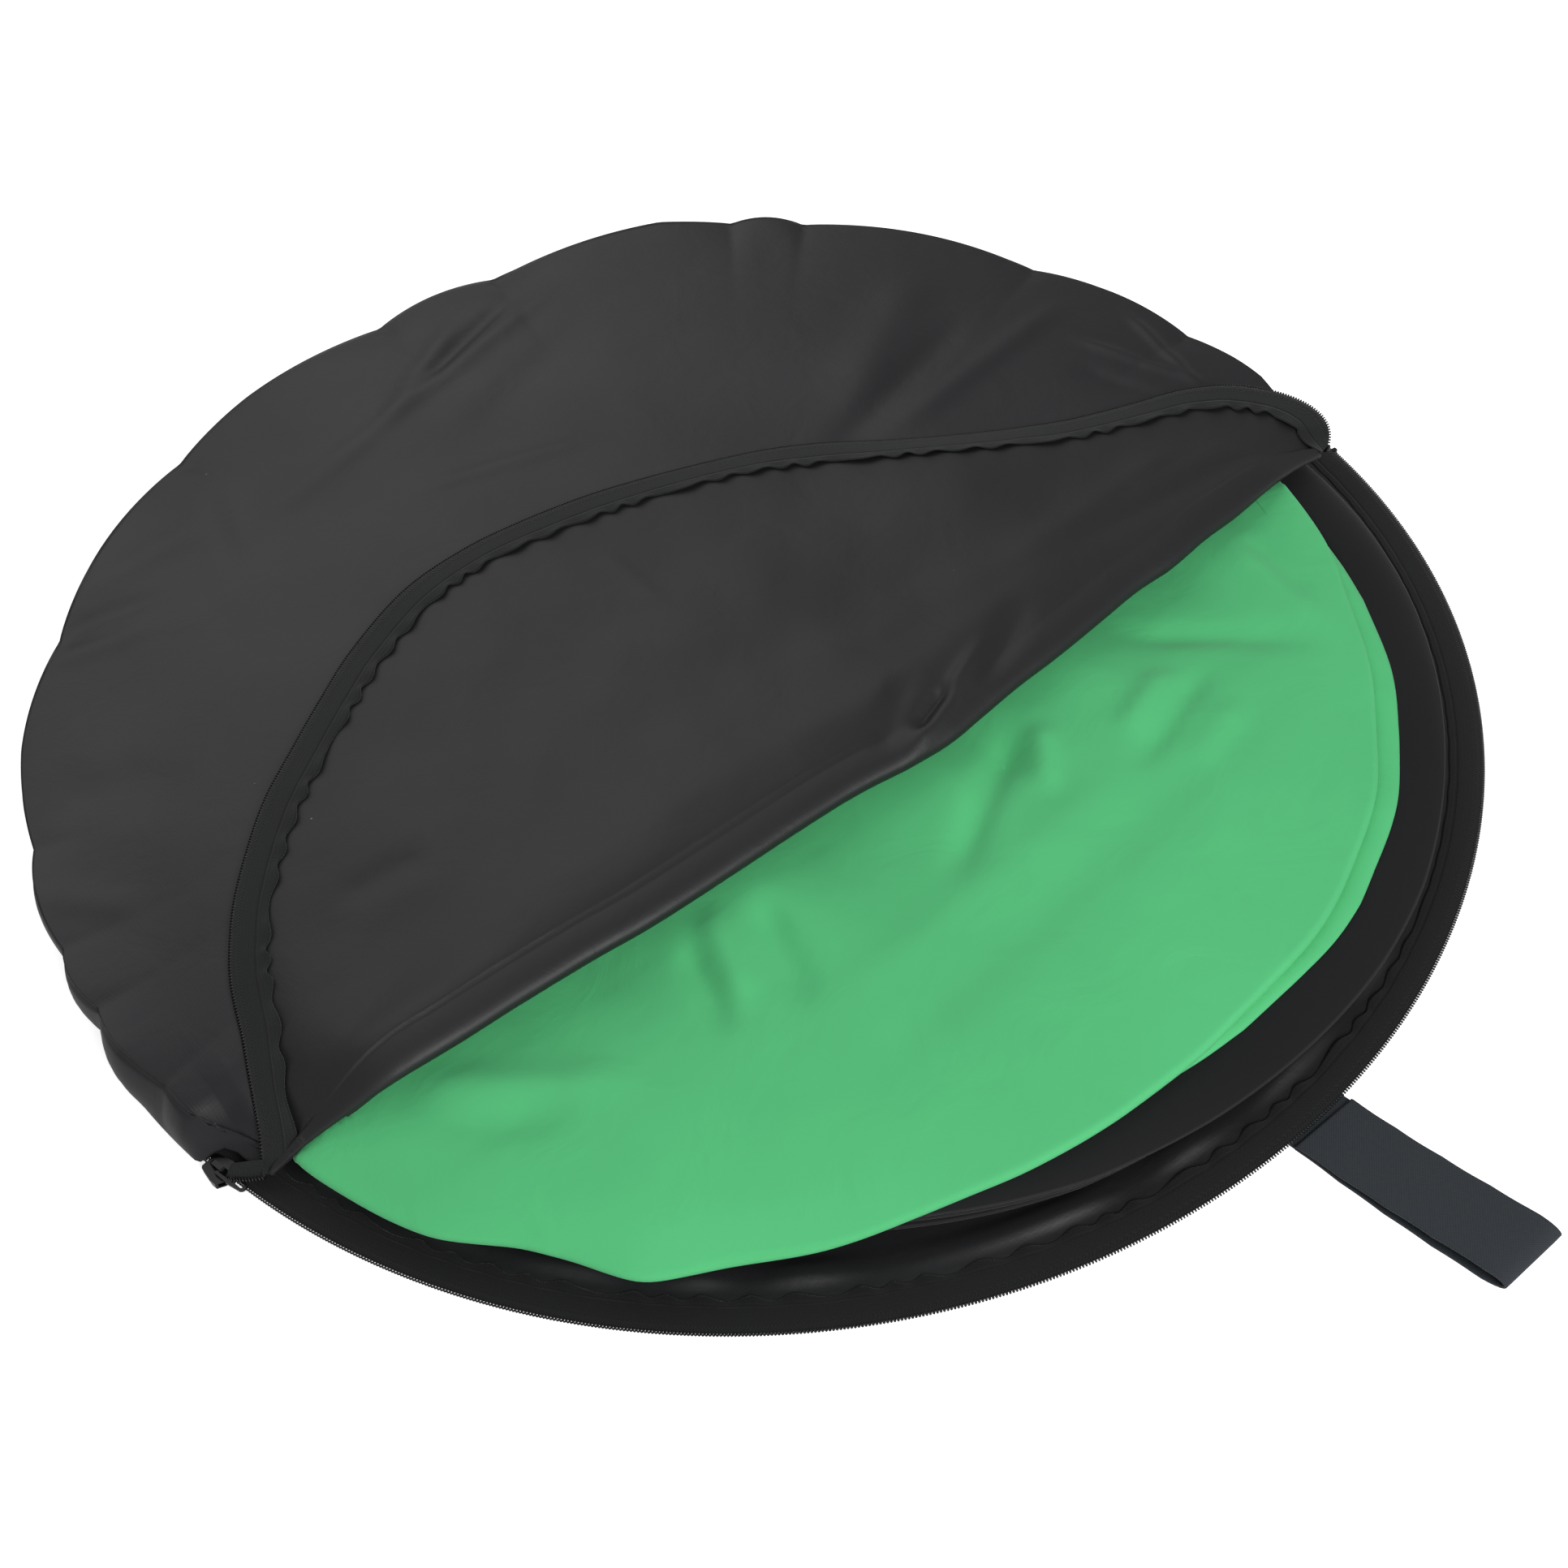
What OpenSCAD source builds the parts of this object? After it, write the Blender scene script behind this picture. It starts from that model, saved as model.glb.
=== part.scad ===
// Collapsible green backdrop, folded into a disc inside its round zipped carry bag.
// The bag lies on its back with the front flap turned over on the roof of the rear pocket.
// Millimetres, +Z up. The origin is the centre of the round base, on the floor.
// The mouth and the hand strap point to -Y, and the fold of the flap runs along X.

/* [Bag] */
// Radius of the bag out to the outer edge of the zip coil
rim_r = 330; // [320:1:340]
// Distance from the centre to the fold of the flap
fold_dist = 100; // [92:1:112]
// Height of the side wall round the back
wall_h = 35; // [34:0.5:40]
// Rise of the roof from the top of the side wall to its crown
roof_rise = 9.7; // [9.7:0.1:13]
// Thickness of one double layer of bag cloth
cloth_t = 1.2; // [0.8:0.1:1.4]
// How far the rim of the base stands up from the floor
rim_lift = 2; // [1.8:0.1:2.2]
// Radius of the rolled fold of the flap
roll_r = 2.2; // [1.8:0.1:2.4]
// Angle at the centre where the side wall starts, near the right end of the zip
wall_start = -17; // [-17:1:-8]
// Angle at the centre where the side wall ends, near the slider
wall_end = 197; // [188:1:197]

/* [Zip] */
// Width of each zip tape
tape_w = 16; // [13:0.5:18]
// Thickness of the woven tape
tape_t = 0.6; // [0.4:0.1:0.7]
// Radius of the nylon coil
coil_r = 1; // [0.8:0.05:1]
// Angle at the centre where the zip starts, at its bottom stop
zip_start = -175; // [-178:0.5:-174]
// Angle at the centre where the zip ends, at its top stop
zip_end = -12.5; // [-14:0.5:-10]
// Angle at the centre of the parked slider
slider_angle = -170; // [-171:0.5:-168]

/* [Slider and puller] */
// Length of the slider
slider_len = 13; // [12:0.5:15]
// Thickness of each of the slider's two plates
plate_t = 0.8; // [0.7:0.05:0.9]
// Gap between the slider and what runs through it
slider_gap = 0.1; // [0.08:0.01:0.15]
// Width of the bridge over the top plate
bridge_w = 2.2; // [1.8:0.1:2.6]
// Thickness of the bridge
bridge_t = 1; // [0.8:0.1:1.2]
// Radius of the puller's pin under the bridge
pin_r = 0.6; // [0.5:0.05:0.7]
// Length of the puller from its pin to its tip
puller_len = 15; // [13:1:24]
// Width of the puller
puller_w = 5.6; // [5.2:0.1:7]

/* [Hand strap] */
// Width of the webbing
strap_w = 33; // [25:1:40]
// Length of the loop beyond the rim
strap_len = 91; // [80:1:110]
// Angle along the rim from the middle of the mouth to the strap, in degrees
strap_turn = 3.2; // [0:0.1:8]
// Thickness of one layer of webbing
web_t = 0.7; // [0.5:0.05:0.75]
// Height of the open end of the loop
loop_h = 7.4; // [6.4:0.1:7.6]

/* [Folded backdrop] */
// Gap between the folded disc and the side wall of the bag
disc_gap = 17.8; // [15.8:0.1:27.8]
// Width of the black edge sleeve, pressed flat
sleeve_w = 28; // [24:1:30]
// Thickness of the edge sleeve over the spring
sleeve_h = 6.4; // [6.2:0.1:7]
// Height from one turn of the sleeve to the next
turn_pitch = 8.6; // [8.2:0.1:9]
// Clear height below the lowest turn
turn_lift = 3.5; // [3.4:0.1:3.8]
// Outward tilt of the top turn, in degrees
top_tilt = 10; // [0:1:12]
// Height of the spring strip
strip_h = 4; // [3:0.1:4.2]
// Thickness of the spring strip
strip_t = 1; // [0.8:0.05:1.1]
// Crown of the top lobe of green cloth
crown_h = 6.6; // [3:0.1:7]
// How far the green cloth slips towards the left front
cloth_slip = 14; // [6:1:15]
// Running space between soft pieces
soft_gap = 0.3; // [0.25:0.05:0.4]

/* [Hidden] */

// Colours
bag_grey = "#38383a";
tape_black = "#1c1f20";
coil_grey = "#3a3c3d";
metal_black = "#161718";
strap_grey = "#363b3f";
screen_green = "#52b573";
sleeve_black = "#202022";
steel_grey = "#9aa0a4";

// Levels and radii of the rim: base shelf, tape and coil
track_r = rim_r - coil_r;
shelf_z = rim_lift + cloth_t;
shelf_r = rim_r - 11;
shelf_w = 7;
tape_r = rim_r - 2 * coil_r;
tape_in = rim_r - 2 * coil_r - tape_w;
coil_z = shelf_z + tape_t / 2;
tape_from = zip_start - 2;
tape_to = zip_end + 3;
ramp_w = 12;
round_fn = 96;

// Roof, fold and flap
wall_top = shelf_z + wall_h;
fold_x = sqrt(shelf_r * shelf_r - fold_dist * fold_dist);
roof_top = wall_top + cloth_t + roof_rise;
fold_z = roof_top + soft_gap + cloth_t - roll_r;
flap_z = fold_z + roll_r - cloth_t;
flap_centre = -2 * fold_dist;
tape_reach = acos((fold_dist + roll_r + 1) / tape_in);
tape_start = 90 - tape_reach;
tape_stop = 90 + tape_reach;

// Slider: the nose opens into two channels beside a post
track_gap = coil_r + slider_gap;
upper_track = -2 * coil_r;
mouth_w = 3.4 * coil_r + 1;
slider_z0 = coil_z - track_gap - plate_t;
slider_z1 = coil_z + track_gap + plate_t;
slot_h = tape_t / 2 + 0.25;
slider_wall = 1.2;
bridge_len = 8;
bridge_foot = 1.2;
bridge_rise = 2 * pin_r + 2 * soft_gap;
pin_z = slider_z1 + soft_gap + pin_r;
pin_x = 1.4;
axis_y = upper_track / 2;

// Strap
strap_top = 2 * web_t;
strap_hinge_y = -(rim_r + 1.5);
strap_end = strap_hinge_y - strap_len;
loop_r = loop_h / 2;
flat_len = 7;
root_lap = 0.3;

// Folded backdrop: three turns of one closed loop
disc_r = shelf_r - cloth_t - disc_gap;
turns = 3;
rings_per_turn = 40;
ring_step = 360 / rings_per_turn;
ring_count = turns * rings_per_turn;
turn_r = disc_r - sleeve_w / 2;
turn_z = turn_lift + sleeve_h / 2;
cross_in = sleeve_w + 3;
climb_from = 60;
climb_to = 120;
side_step = 30;
lobe_r = disc_r - sleeve_w - 1.5;
crossing_r = (disc_r - sleeve_w - cross_in) * cos(ring_step / 2) - soft_gap;
belly_z = cloth_t + soft_gap;
bore_h = strip_h + 1.2;
bore_w = strip_t + 1.4;
edge_half = 0.8;
flat_half = 3;
top_z = turn_z + (turns - 1) * turn_pitch + sleeve_h / 2 * cos(top_tilt) + flat_half * sin(top_tilt) + soft_gap;
lobe_split = (top_z - belly_z) / 2 + belly_z;

// A band of rectangular section that runs along an arc about the Z axis
module arc_band(r0, r1, z0, z1, from, to) {
    rotate([0, 0, from])
        rotate_extrude(angle = to - from, $fn = round_fn)
            translate([r0, z0])
                square([r1 - r0, z1 - z0]);
}

// A round rod bent along an arc about the Z axis
module arc_rod(r, z, rod_r, from, to) {
    rotate([0, 0, from])
        rotate_extrude(angle = to - from, $fn = round_fn)
            translate([r, z])
                circle(r = rod_r, $fn = 24);
}

// Puts children on the zip's track: X runs along the zip, Y points to the bag's centre
module on_track(angle) {
    rotate([0, 0, angle])
        translate([track_r, 0, 0])
            rotate([0, 0, 90])
                children();
}

// Puts children in the frame of the flap, whose rim is the bag's rim mirrored in the fold
module on_flap() {
    translate([0, flap_centre, 0])
        children();
}

// Everything behind the fold
module behind(y) {
    translate([-2 * rim_r, y, -1])
        cube([4 * rim_r, 4 * rim_r, 4 * wall_top]);
}

// Round base of the bag; its rim stands up to carry the zip and the side wall
module base_panel() {
    color(bag_grey)
        rotate_extrude($fn = round_fn)
            polygon([
                [0, 0], [shelf_r - shelf_w - ramp_w, 0], [shelf_r - shelf_w, rim_lift], [shelf_r, rim_lift],
                [shelf_r, shelf_z], [shelf_r - shelf_w, shelf_z], [shelf_r - shelf_w - ramp_w, cloth_t], [0, cloth_t]
            ]);
}

// Side wall round the back of the bag; both of its ends stand on the ends of the tape
module side_wall() {
    color(bag_grey)
        difference() {
            arc_band(shelf_r - cloth_t, shelf_r, shelf_z, wall_top, wall_start, wall_end);
            arc_band(tape_in, tape_r, shelf_z - 1, shelf_z + tape_t, tape_from, tape_to);
        }
}

// Height of the roof's outer face above the top of the wall, as a share of its rise
function roof_share(t) = pow(cos(90 * pow(t, 3)), 0.7);

// Roof of the rear pocket: a low dome from the side wall to the fold
module roof_panel() {
    steps = 14;
    share = [for (i = [0:steps]) i / steps];
    outer = [for (t = share) [shelf_r * t, wall_top + cloth_t + roof_rise * roof_share(t)]];
    inner = [for (t = share) [shelf_r * (1 - t), wall_top + roof_rise * roof_share(1 - t)]];
    color(bag_grey)
        intersection() {
            rotate_extrude($fn = round_fn)
                polygon(concat(outer, inner));
            behind(-fold_dist + roll_r + soft_gap);
        }
}

// Woven tape of the lower half of the zip
module lower_zip_tape() {
    color(tape_black)
        arc_band(tape_in, tape_r, shelf_z, shelf_z + tape_t, tape_from, tape_to);
}

// Nylon coil along the lower tape
module lower_zip_coil() {
    color(coil_grey)
        arc_rod(track_r, coil_z, coil_r, zip_start, zip_end);
}

// Short stretch of the upper coil that stays closed behind the slider
module zip_tail_coil() {
    color(coil_grey)
        arc_rod(track_r - upper_track, coil_z, coil_r, zip_start, slider_angle - 0.3);
}

// Clamp over both coils at the start of the zip
module zip_bottom_stop() {
    stop_len = 2.4;
    color(metal_black)
        on_track(zip_start)
            translate([-stop_len, upper_track - coil_r - 0.4, coil_z - coil_r - 0.3])
                cube([stop_len, 4 * coil_r + 0.4, 2 * coil_r + 0.6]);
}

// Clamp on the end of a coil
module coil_stop() {
    stop_len = 2;
    translate([0, -coil_r - 0.3, coil_z - coil_r - 0.3])
        cube([stop_len, 2 * coil_r + 0.3, 2 * coil_r + 0.6]);
}

// Top stop on the lower coil
module lower_top_stop() {
    color(metal_black)
        on_track(zip_end)
            coil_stop();
}

// Cloth tab that joins the zip to the side wall, at one end of the zip
module end_tab(from, to) {
    tab_h = 14;
    arc_band(shelf_r, shelf_r + cloth_t, shelf_z + tape_t, shelf_z + tab_h, from, to);
}

// Tab behind the slider
module zip_start_tab() {
    color(bag_grey)
        end_tab(zip_start - 6, zip_start + 1);
}

// Tab at the top stops
module zip_end_tab() {
    color(bag_grey)
        end_tab(zip_end + 0.5, zip_end + 6);
}

// Both ends of the strap, sewn flat under the rim
module strap_root() {
    color(strap_grey)
        rotate([0, 0, strap_turn]) {
            translate([-strap_w / 2, strap_hinge_y + norm([root_lap, web_t]) + soft_gap, 0])
                cube([strap_w, rim_r - shelf_r + shelf_w - 2, strap_top]);
            intersection() {
                arc_band(shelf_r - shelf_w + 1, shelf_r - 1, strap_top, rim_lift, -100, -80);
                translate([-strap_w / 2, -rim_r, 0])
                    cube([strap_w, 40, rim_lift]);
            }
        }
}

// Points of the half circle at the far end of the loop
function bend_points(r) = [for (k = [0:12]) [strap_end + loop_r - r * sin(15 * k), loop_r - r * cos(15 * k)]];

// Loop of flat webbing, seen from the side: flat at the root, open at the end
module strap_side() {
    slope_y = strap_hinge_y - flat_len;
    open_y = slope_y - 8;
    difference() {
        polygon(concat(
            [[strap_hinge_y + root_lap, 0]], bend_points(loop_r),
            [[slope_y, strap_top], [strap_hinge_y + root_lap, strap_top]]
        ));
        polygon(concat([[open_y, web_t]], bend_points(loop_r - web_t), [[open_y, web_t + 0.2]]));
    }
}

// Hand strap lying on the floor in front of the bag
module strap_loop() {
    color(strap_grey)
        rotate([0, 0, strap_turn])
            translate([strap_w / 2, 0, 0])
                rotate([90, 0, -90])
                    mirror([1, 0, 0])
                        linear_extrude(strap_w)
                            strap_side();
}

// Front part of the top, turned back over the roof
module flap_panel() {
    color(bag_grey)
        difference() {
            on_flap()
                translate([0, 0, flap_z])
                    intersection() {
                        cylinder(r = shelf_r, h = cloth_t, $fn = round_fn);
                        translate([-rim_r, -flap_centre - fold_dist, -1])
                            cube([2 * rim_r, 2 * rim_r, cloth_t + 2]);
                    }
            fold_rod(roll_r);
        }
}

// Rod along the fold
module fold_rod(rod_r, overrun = 0) {
    translate([-fold_x - overrun, -fold_dist, fold_z])
        rotate([0, 90, 0])
            cylinder(r = rod_r, h = 2 * (fold_x + overrun), $fn = 48);
}

// Rolled fold of the cloth, about which the flap turns
module fold_roll() {
    color(bag_grey)
        difference() {
            fold_rod(roll_r);
            fold_rod(roll_r - cloth_t, overrun = 1);
        }
}

// Woven tape of the upper half of the zip
module upper_zip_tape() {
    color(tape_black)
        on_flap()
            arc_band(tape_in, tape_r, flap_z + cloth_t, flap_z + cloth_t + tape_t, tape_start, tape_stop);
}

// Nylon coil along the upper tape
module upper_zip_coil() {
    color(coil_grey)
        on_flap()
            arc_rod(track_r, flap_z + cloth_t + tape_t / 2, coil_r, tape_start, tape_stop);
}

// Top stop on the upper coil
module upper_top_stop() {
    color(metal_black)
        on_flap()
            translate([0, 0, flap_z + cloth_t + tape_t / 2 - coil_z])
                rotate([0, 0, tape_start])
                    translate([track_r, 0, 0])
                        rotate([0, 0, 90])
                            mirror([1, 0, 0])
                                coil_stop();
}

// Outline of the slider from above: wide at the nose, narrow at the tail
module slider_outline() {
    nose = slider_len / 2;
    tail_half = 2 * coil_r + slider_wall + 1;
    nose_half = tail_half + 1.6;
    polygon([
        [-nose, axis_y - tail_half + 0.8], [-nose + 0.8, axis_y - tail_half], [nose - 5, axis_y - nose_half],
        [nose - 2.4, axis_y - nose_half], [nose - 0.4, axis_y - 2.4], [nose, axis_y], [nose - 0.4, axis_y + 2.4],
        [nose - 2.4, axis_y + nose_half], [nose - 5, axis_y + nose_half], [-nose + 0.8, axis_y + tail_half],
        [-nose, axis_y + tail_half - 0.8]
    ]);
}

// Channels through the slider: two at the nose, one at the tail
module slider_channels() {
    far = slider_len;
    polygon([[-far, track_gap], [far, track_gap], [far, -track_gap], [-far, -track_gap]]);
    polygon([[-far, 0], [0.5, 0], [0.5, upper_track - track_gap], [-far, upper_track - track_gap]]);
    polygon([
        [-0.5, upper_track + track_gap], [far, upper_track - 4], [far, upper_track - 4 - mouth_w],
        [-0.5, upper_track - track_gap]
    ]);
}

// Die-cast slider: two plates with lips, held apart by the post between its channels
module slider_body() {
    color(metal_black)
        on_track(slider_angle)
            difference() {
                translate([0, 0, slider_z0])
                    linear_extrude(slider_z1 - slider_z0)
                        slider_outline();
                translate([0, 0, coil_z - track_gap])
                    linear_extrude(2 * track_gap)
                        slider_channels();
                translate([-slider_len, 0, coil_z - slot_h])
                    cube([2 * slider_len, slider_len, 2 * slot_h]);
                translate([-slider_len, upper_track - slider_len, coil_z - slot_h])
                    cube([slider_len + 0.5, slider_len, 2 * slot_h]);
            }
}

// Bridge over the top plate, which holds the puller
module slider_bridge() {
    top = bridge_rise + bridge_t;
    half = bridge_len / 2;
    color(metal_black)
        on_track(slider_angle)
            translate([0, axis_y + bridge_w / 2, slider_z1])
                rotate([90, 0, 0])
                    linear_extrude(bridge_w)
                        polygon([
                            [-half, 0], [-half + bridge_foot, 0], [-half + bridge_foot + 0.6, bridge_rise],
                            [half - bridge_foot - 0.6, bridge_rise], [half - bridge_foot, 0], [half, 0],
                            [half - 0.6, top - 0.5], [half - 1.4, top], [-half + 1.4, top], [-half + 0.6, top - 0.5]
                        ]);
}

// Outline of the puller: a slim tab with a window round the bridge and a slot at its tip
module puller_outline() {
    tip_r = 0.36 * puller_w;
    slot_r = 0.15 * puller_w;
    tip_x = puller_len - tip_r;
    window_l = bridge_len / 2 + pin_x + soft_gap;
    window_w = bridge_w + 2 * soft_gap;
    difference() {
        union() {
            translate([tip_x, 0])
                circle(r = tip_r, $fn = 32);
            polygon([
                [-pin_r, -puller_w / 2], [window_l + 2, -puller_w / 2], [tip_x, -tip_r],
                [tip_x, tip_r], [window_l + 2, puller_w / 2], [-pin_r, puller_w / 2]
            ]);
        }
        translate([pin_r, -window_w / 2])
            square([window_l, window_w]);
        translate([-2 * pin_r, -window_w / 2])
            square([3 * pin_r, window_w]);
        translate([tip_x, 0])
            circle(r = slot_r, $fn = 24);
        translate([tip_x - 3, 0])
            circle(r = slot_r, $fn = 24);
        translate([tip_x - 3, -slot_r])
            square([3, 2 * slot_r]);
    }
}

// Puller, hung on its pin under the bridge
module zip_puller() {
    color(metal_black)
        on_track(slider_angle)
            translate([pin_x, axis_y, pin_z]) {
                translate([0, 0, -pin_r])
                    linear_extrude(2 * pin_r)
                        puller_outline();
                translate([0, bridge_w / 2 + soft_gap, 0])
                    rotate([90, 0, 0])
                        cylinder(r = pin_r, h = bridge_w + 2 * soft_gap, $fn = 24);
            }
}

// Smooth step from 0 to 1 between two angles
function ease(a, from, to) = let (t = min(1, max(0, (a - from) / (to - from)))) t * t * (3 - 2 * t);

// One closed loop laid in three turns. Turns 0 and 1 climb one level at the back, and turn 2
// steps inwards there, drops two levels inside the others and steps out again.
function is_last(turn) = turn == turns - 1;
function step_in(a) = ease(a, climb_from - side_step, climb_from) - ease(a, climb_to, climb_to + side_step);
function turn_radius(turn, a) = turn_r - (is_last(turn) ? cross_in * step_in(a) : 0);
function turn_level(turn, a) = is_last(turn)
    ? 2 - 2 * ease(a, climb_from, climb_to)
    : turn + ease(a, climb_from, climb_to);

// Turns start at the back, half way round from the mouth, so that each climb lies inside one turn
function ring_turn(i) = floor(i / rings_per_turn);
function ring_angle(i) = (i % rings_per_turn) * ring_step;

// A point of a flat section at one ring: u across the band, outwards, and v up
function band_point(i, u, v) = let (
    turn = ring_turn(i),
    a = ring_angle(i),
    level = turn_level(turn, a),
    tilt = top_tilt * level / (turns - 1),
    r = turn_radius(turn, a) + u * cos(tilt) + v * sin(tilt),
    z = turn_z + level * turn_pitch - u * sin(tilt) + v * cos(tilt)
) [r * cos(a), r * sin(a), z];

// Closed tube of a given section along the loop
module loop_tube(section) {
    sides = len(section);
    points = [for (i = [0:ring_count - 1]) for (p = section) band_point(i, p[0], p[1])];
    faces = [
        for (i = [0:ring_count - 1])
            for (j = [0:sides - 1])
                let (
                    a = i * sides + j,
                    b = i * sides + (j + 1) % sides,
                    c = ((i + 1) % ring_count) * sides + (j + 1) % sides,
                    d = ((i + 1) % ring_count) * sides + j
                )
                each [[a, c, b], [a, d, c]]
    ];
    polyhedron(points, faces);
}

function box_section(w, h) = [[-w / 2, -h / 2], [-w / 2, h / 2], [w / 2, h / 2], [w / 2, -h / 2]];
sleeve_section = [
    [-sleeve_w / 2, -edge_half], [-sleeve_w / 2, edge_half], [-flat_half, sleeve_h / 2], [flat_half, sleeve_h / 2],
    [sleeve_w / 2, edge_half], [sleeve_w / 2, -edge_half], [flat_half, -sleeve_h / 2], [-flat_half, -sleeve_h / 2]
];

// Least distance between corners of the sleeve on different turns at one angle
least_gap = min([
    for (k = [0:rings_per_turn - 1])
        for (m = [0:turns - 2])
            for (n = [m + 1:turns - 1])
                for (p = sleeve_section)
                    for (q = sleeve_section)
                        norm(
                            band_point(m * rings_per_turn + k, p[0], p[1])
                            - band_point(n * rings_per_turn + k, q[0], q[1])
                        )
]);
echo(least_gap_of_sleeve_to_itself = least_gap);

// Black sleeve sewn round the edge of the backdrop
module edge_sleeve() {
    color(sleeve_black)
        difference() {
            loop_tube(sleeve_section);
            loop_tube(box_section(bore_w, bore_h));
        }
}

// Flat spring steel hoop inside the sleeve
module spring_hoop() {
    color(steel_grey)
        loop_tube(box_section(strip_t, strip_h));
}

// Crimped ferrule that joins the two ends of the strip, in the lowest turn at the front
module spring_ferrule() {
    ferrule_l = 24;
    ferrule_ring = ring_count - rings_per_turn / 4;
    wall = 0.4;
    fit = 0.05;
    from = band_point(ferrule_ring - 1, 0, 0);
    to = band_point(ferrule_ring, 0, 0);
    along = to - from;
    color(steel_grey)
        translate((from + to) / 2)
            rotate([0, 0, atan2(along[1], along[0])])
                difference() {
                    cube([ferrule_l, strip_t + 2 * wall, strip_h + 2 * wall], center = true);
                    cube([ferrule_l + 2, strip_t + 2 * fit, strip_h + 2 * fit], center = true);
                }
}

// Edge of the top lobe: it slips out over the sleeve at the left front
function slip_r(a) = disc_r - cloth_slip - 2 + cloth_slip * cos(a + 160) + 1.6 * sin(5 * a);

// Height of the top lobe: a soft crown with long folds that run with the flap's fold
function lobe_height(t, a) = let (
    x = t * cos(a),
    y = t * sin(a),
    folds = 0.9 * sin(430 * y + 120 * x + 40) + 0.6 * sin(520 * x - 210 * y)
) 1.2 + (crown_h - 1.2 + folds) * pow(1 - t * t, 0.8);

// Top lobe of green cloth
module cloth_top() {
    around = 60;
    rows = 9;
    ring = [for (j = [0:around - 1]) j * 360 / around];
    top = [for (i = [1:rows]) for (a = ring) let (t = pow(i / rows, 0.8)) [
        t * slip_r(a) * cos(a), t * slip_r(a) * sin(a), top_z + lobe_height(t, a)
    ]];
    bottom = [for (a = ring) [slip_r(a) * cos(a), slip_r(a) * sin(a), top_z]];
    points = concat([[0, 0, top_z + lobe_height(0, 0)]], top, bottom, [[0, 0, top_z]]);
    low = len(points) - 1;
    faces = concat(
        [for (j = [0:around - 1]) [0, 1 + (j + 1) % around, 1 + j]],
        [for (i = [0:rows - 1]) for (j = [0:around - 1]) let (
            a = 1 + i * around + j,
            b = 1 + i * around + (j + 1) % around
        ) each [[a, b, b + around], [a, b + around, a + around]]],
        [for (j = [0:around - 1]) [low, 1 + rows * around + j, 1 + rows * around + (j + 1) % around]]
    );
    color(screen_green)
        polyhedron(points, faces);
}

// One folded lobe inside the turns, cut back where the loop crosses itself
module inner_lobe(z0, z1) {
    difference() {
        translate([0, 0, z0])
            cylinder(r = lobe_r, h = z1 - z0, $fn = round_fn);
        arc_band(
            crossing_r, disc_r, z0 - 1, z1 + 1,
            climb_from - side_step - ring_step, climb_to + side_step + ring_step
        );
    }
}

// Middle lobe of green cloth
module cloth_middle() {
    color(screen_green)
        inner_lobe(lobe_split + soft_gap, top_z - soft_gap);
}

// Bottom lobe of green cloth, on which the disc rests
module cloth_bottom() {
    color(screen_green)
        inner_lobe(turn_z, lobe_split);
    color(screen_green)
        translate([0, 0, belly_z])
            cylinder(r = lobe_r - cross_in - 4, h = turn_z - belly_z, $fn = round_fn);
}

base_panel();
side_wall();
roof_panel();
lower_zip_tape();
lower_zip_coil();
zip_tail_coil();
zip_bottom_stop();
lower_top_stop();
zip_start_tab();
zip_end_tab();
strap_root();
strap_loop();
flap_panel();
fold_roll();
upper_zip_tape();
upper_zip_coil();
upper_top_stop();
slider_body();
slider_bridge();
zip_puller();
cloth_top();
cloth_middle();
cloth_bottom();
edge_sleeve();
spring_hoop();
spring_ferrule();
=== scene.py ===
"""Looks of a folded green backdrop in its round zipped carry bag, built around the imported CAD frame."""

import math

import bpy
import numpy as np
from mathutils import Matrix, Vector


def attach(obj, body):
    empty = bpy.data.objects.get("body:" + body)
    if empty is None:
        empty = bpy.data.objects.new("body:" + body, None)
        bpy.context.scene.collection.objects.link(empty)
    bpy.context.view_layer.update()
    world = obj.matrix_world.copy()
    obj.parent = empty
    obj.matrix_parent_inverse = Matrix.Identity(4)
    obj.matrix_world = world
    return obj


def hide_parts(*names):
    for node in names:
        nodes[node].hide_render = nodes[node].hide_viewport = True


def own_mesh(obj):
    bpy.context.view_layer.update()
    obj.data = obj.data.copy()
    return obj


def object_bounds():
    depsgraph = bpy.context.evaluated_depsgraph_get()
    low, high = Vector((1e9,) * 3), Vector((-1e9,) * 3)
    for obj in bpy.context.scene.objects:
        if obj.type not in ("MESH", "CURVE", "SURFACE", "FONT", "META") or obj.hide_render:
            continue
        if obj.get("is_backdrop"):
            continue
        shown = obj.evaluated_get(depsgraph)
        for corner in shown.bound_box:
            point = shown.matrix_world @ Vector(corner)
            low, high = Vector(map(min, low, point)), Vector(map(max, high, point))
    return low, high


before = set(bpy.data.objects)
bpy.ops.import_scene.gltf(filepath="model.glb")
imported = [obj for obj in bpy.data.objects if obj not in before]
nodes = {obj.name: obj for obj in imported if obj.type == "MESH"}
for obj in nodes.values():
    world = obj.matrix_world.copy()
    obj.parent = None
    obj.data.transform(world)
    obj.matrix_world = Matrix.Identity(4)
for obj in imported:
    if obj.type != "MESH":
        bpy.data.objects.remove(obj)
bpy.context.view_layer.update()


# ---------------------------------------------------------------- Studio
# A flat sheet of white paper under an even, shadowless dome of light, with one large soft box
# behind the bag and a smaller, stronger one in front. None of it belongs to the object.


def to_linear(colour):
    """sRGB hex to linear light, as Blender's colour sockets take it."""
    parts = [int(colour[i : i + 2], 16) / 255 for i in (1, 3, 5)]
    return [p / 12.92 if p <= 0.04045 else ((p + 0.055) / 1.055) ** 2.4 for p in parts] + [1.0]


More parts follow.
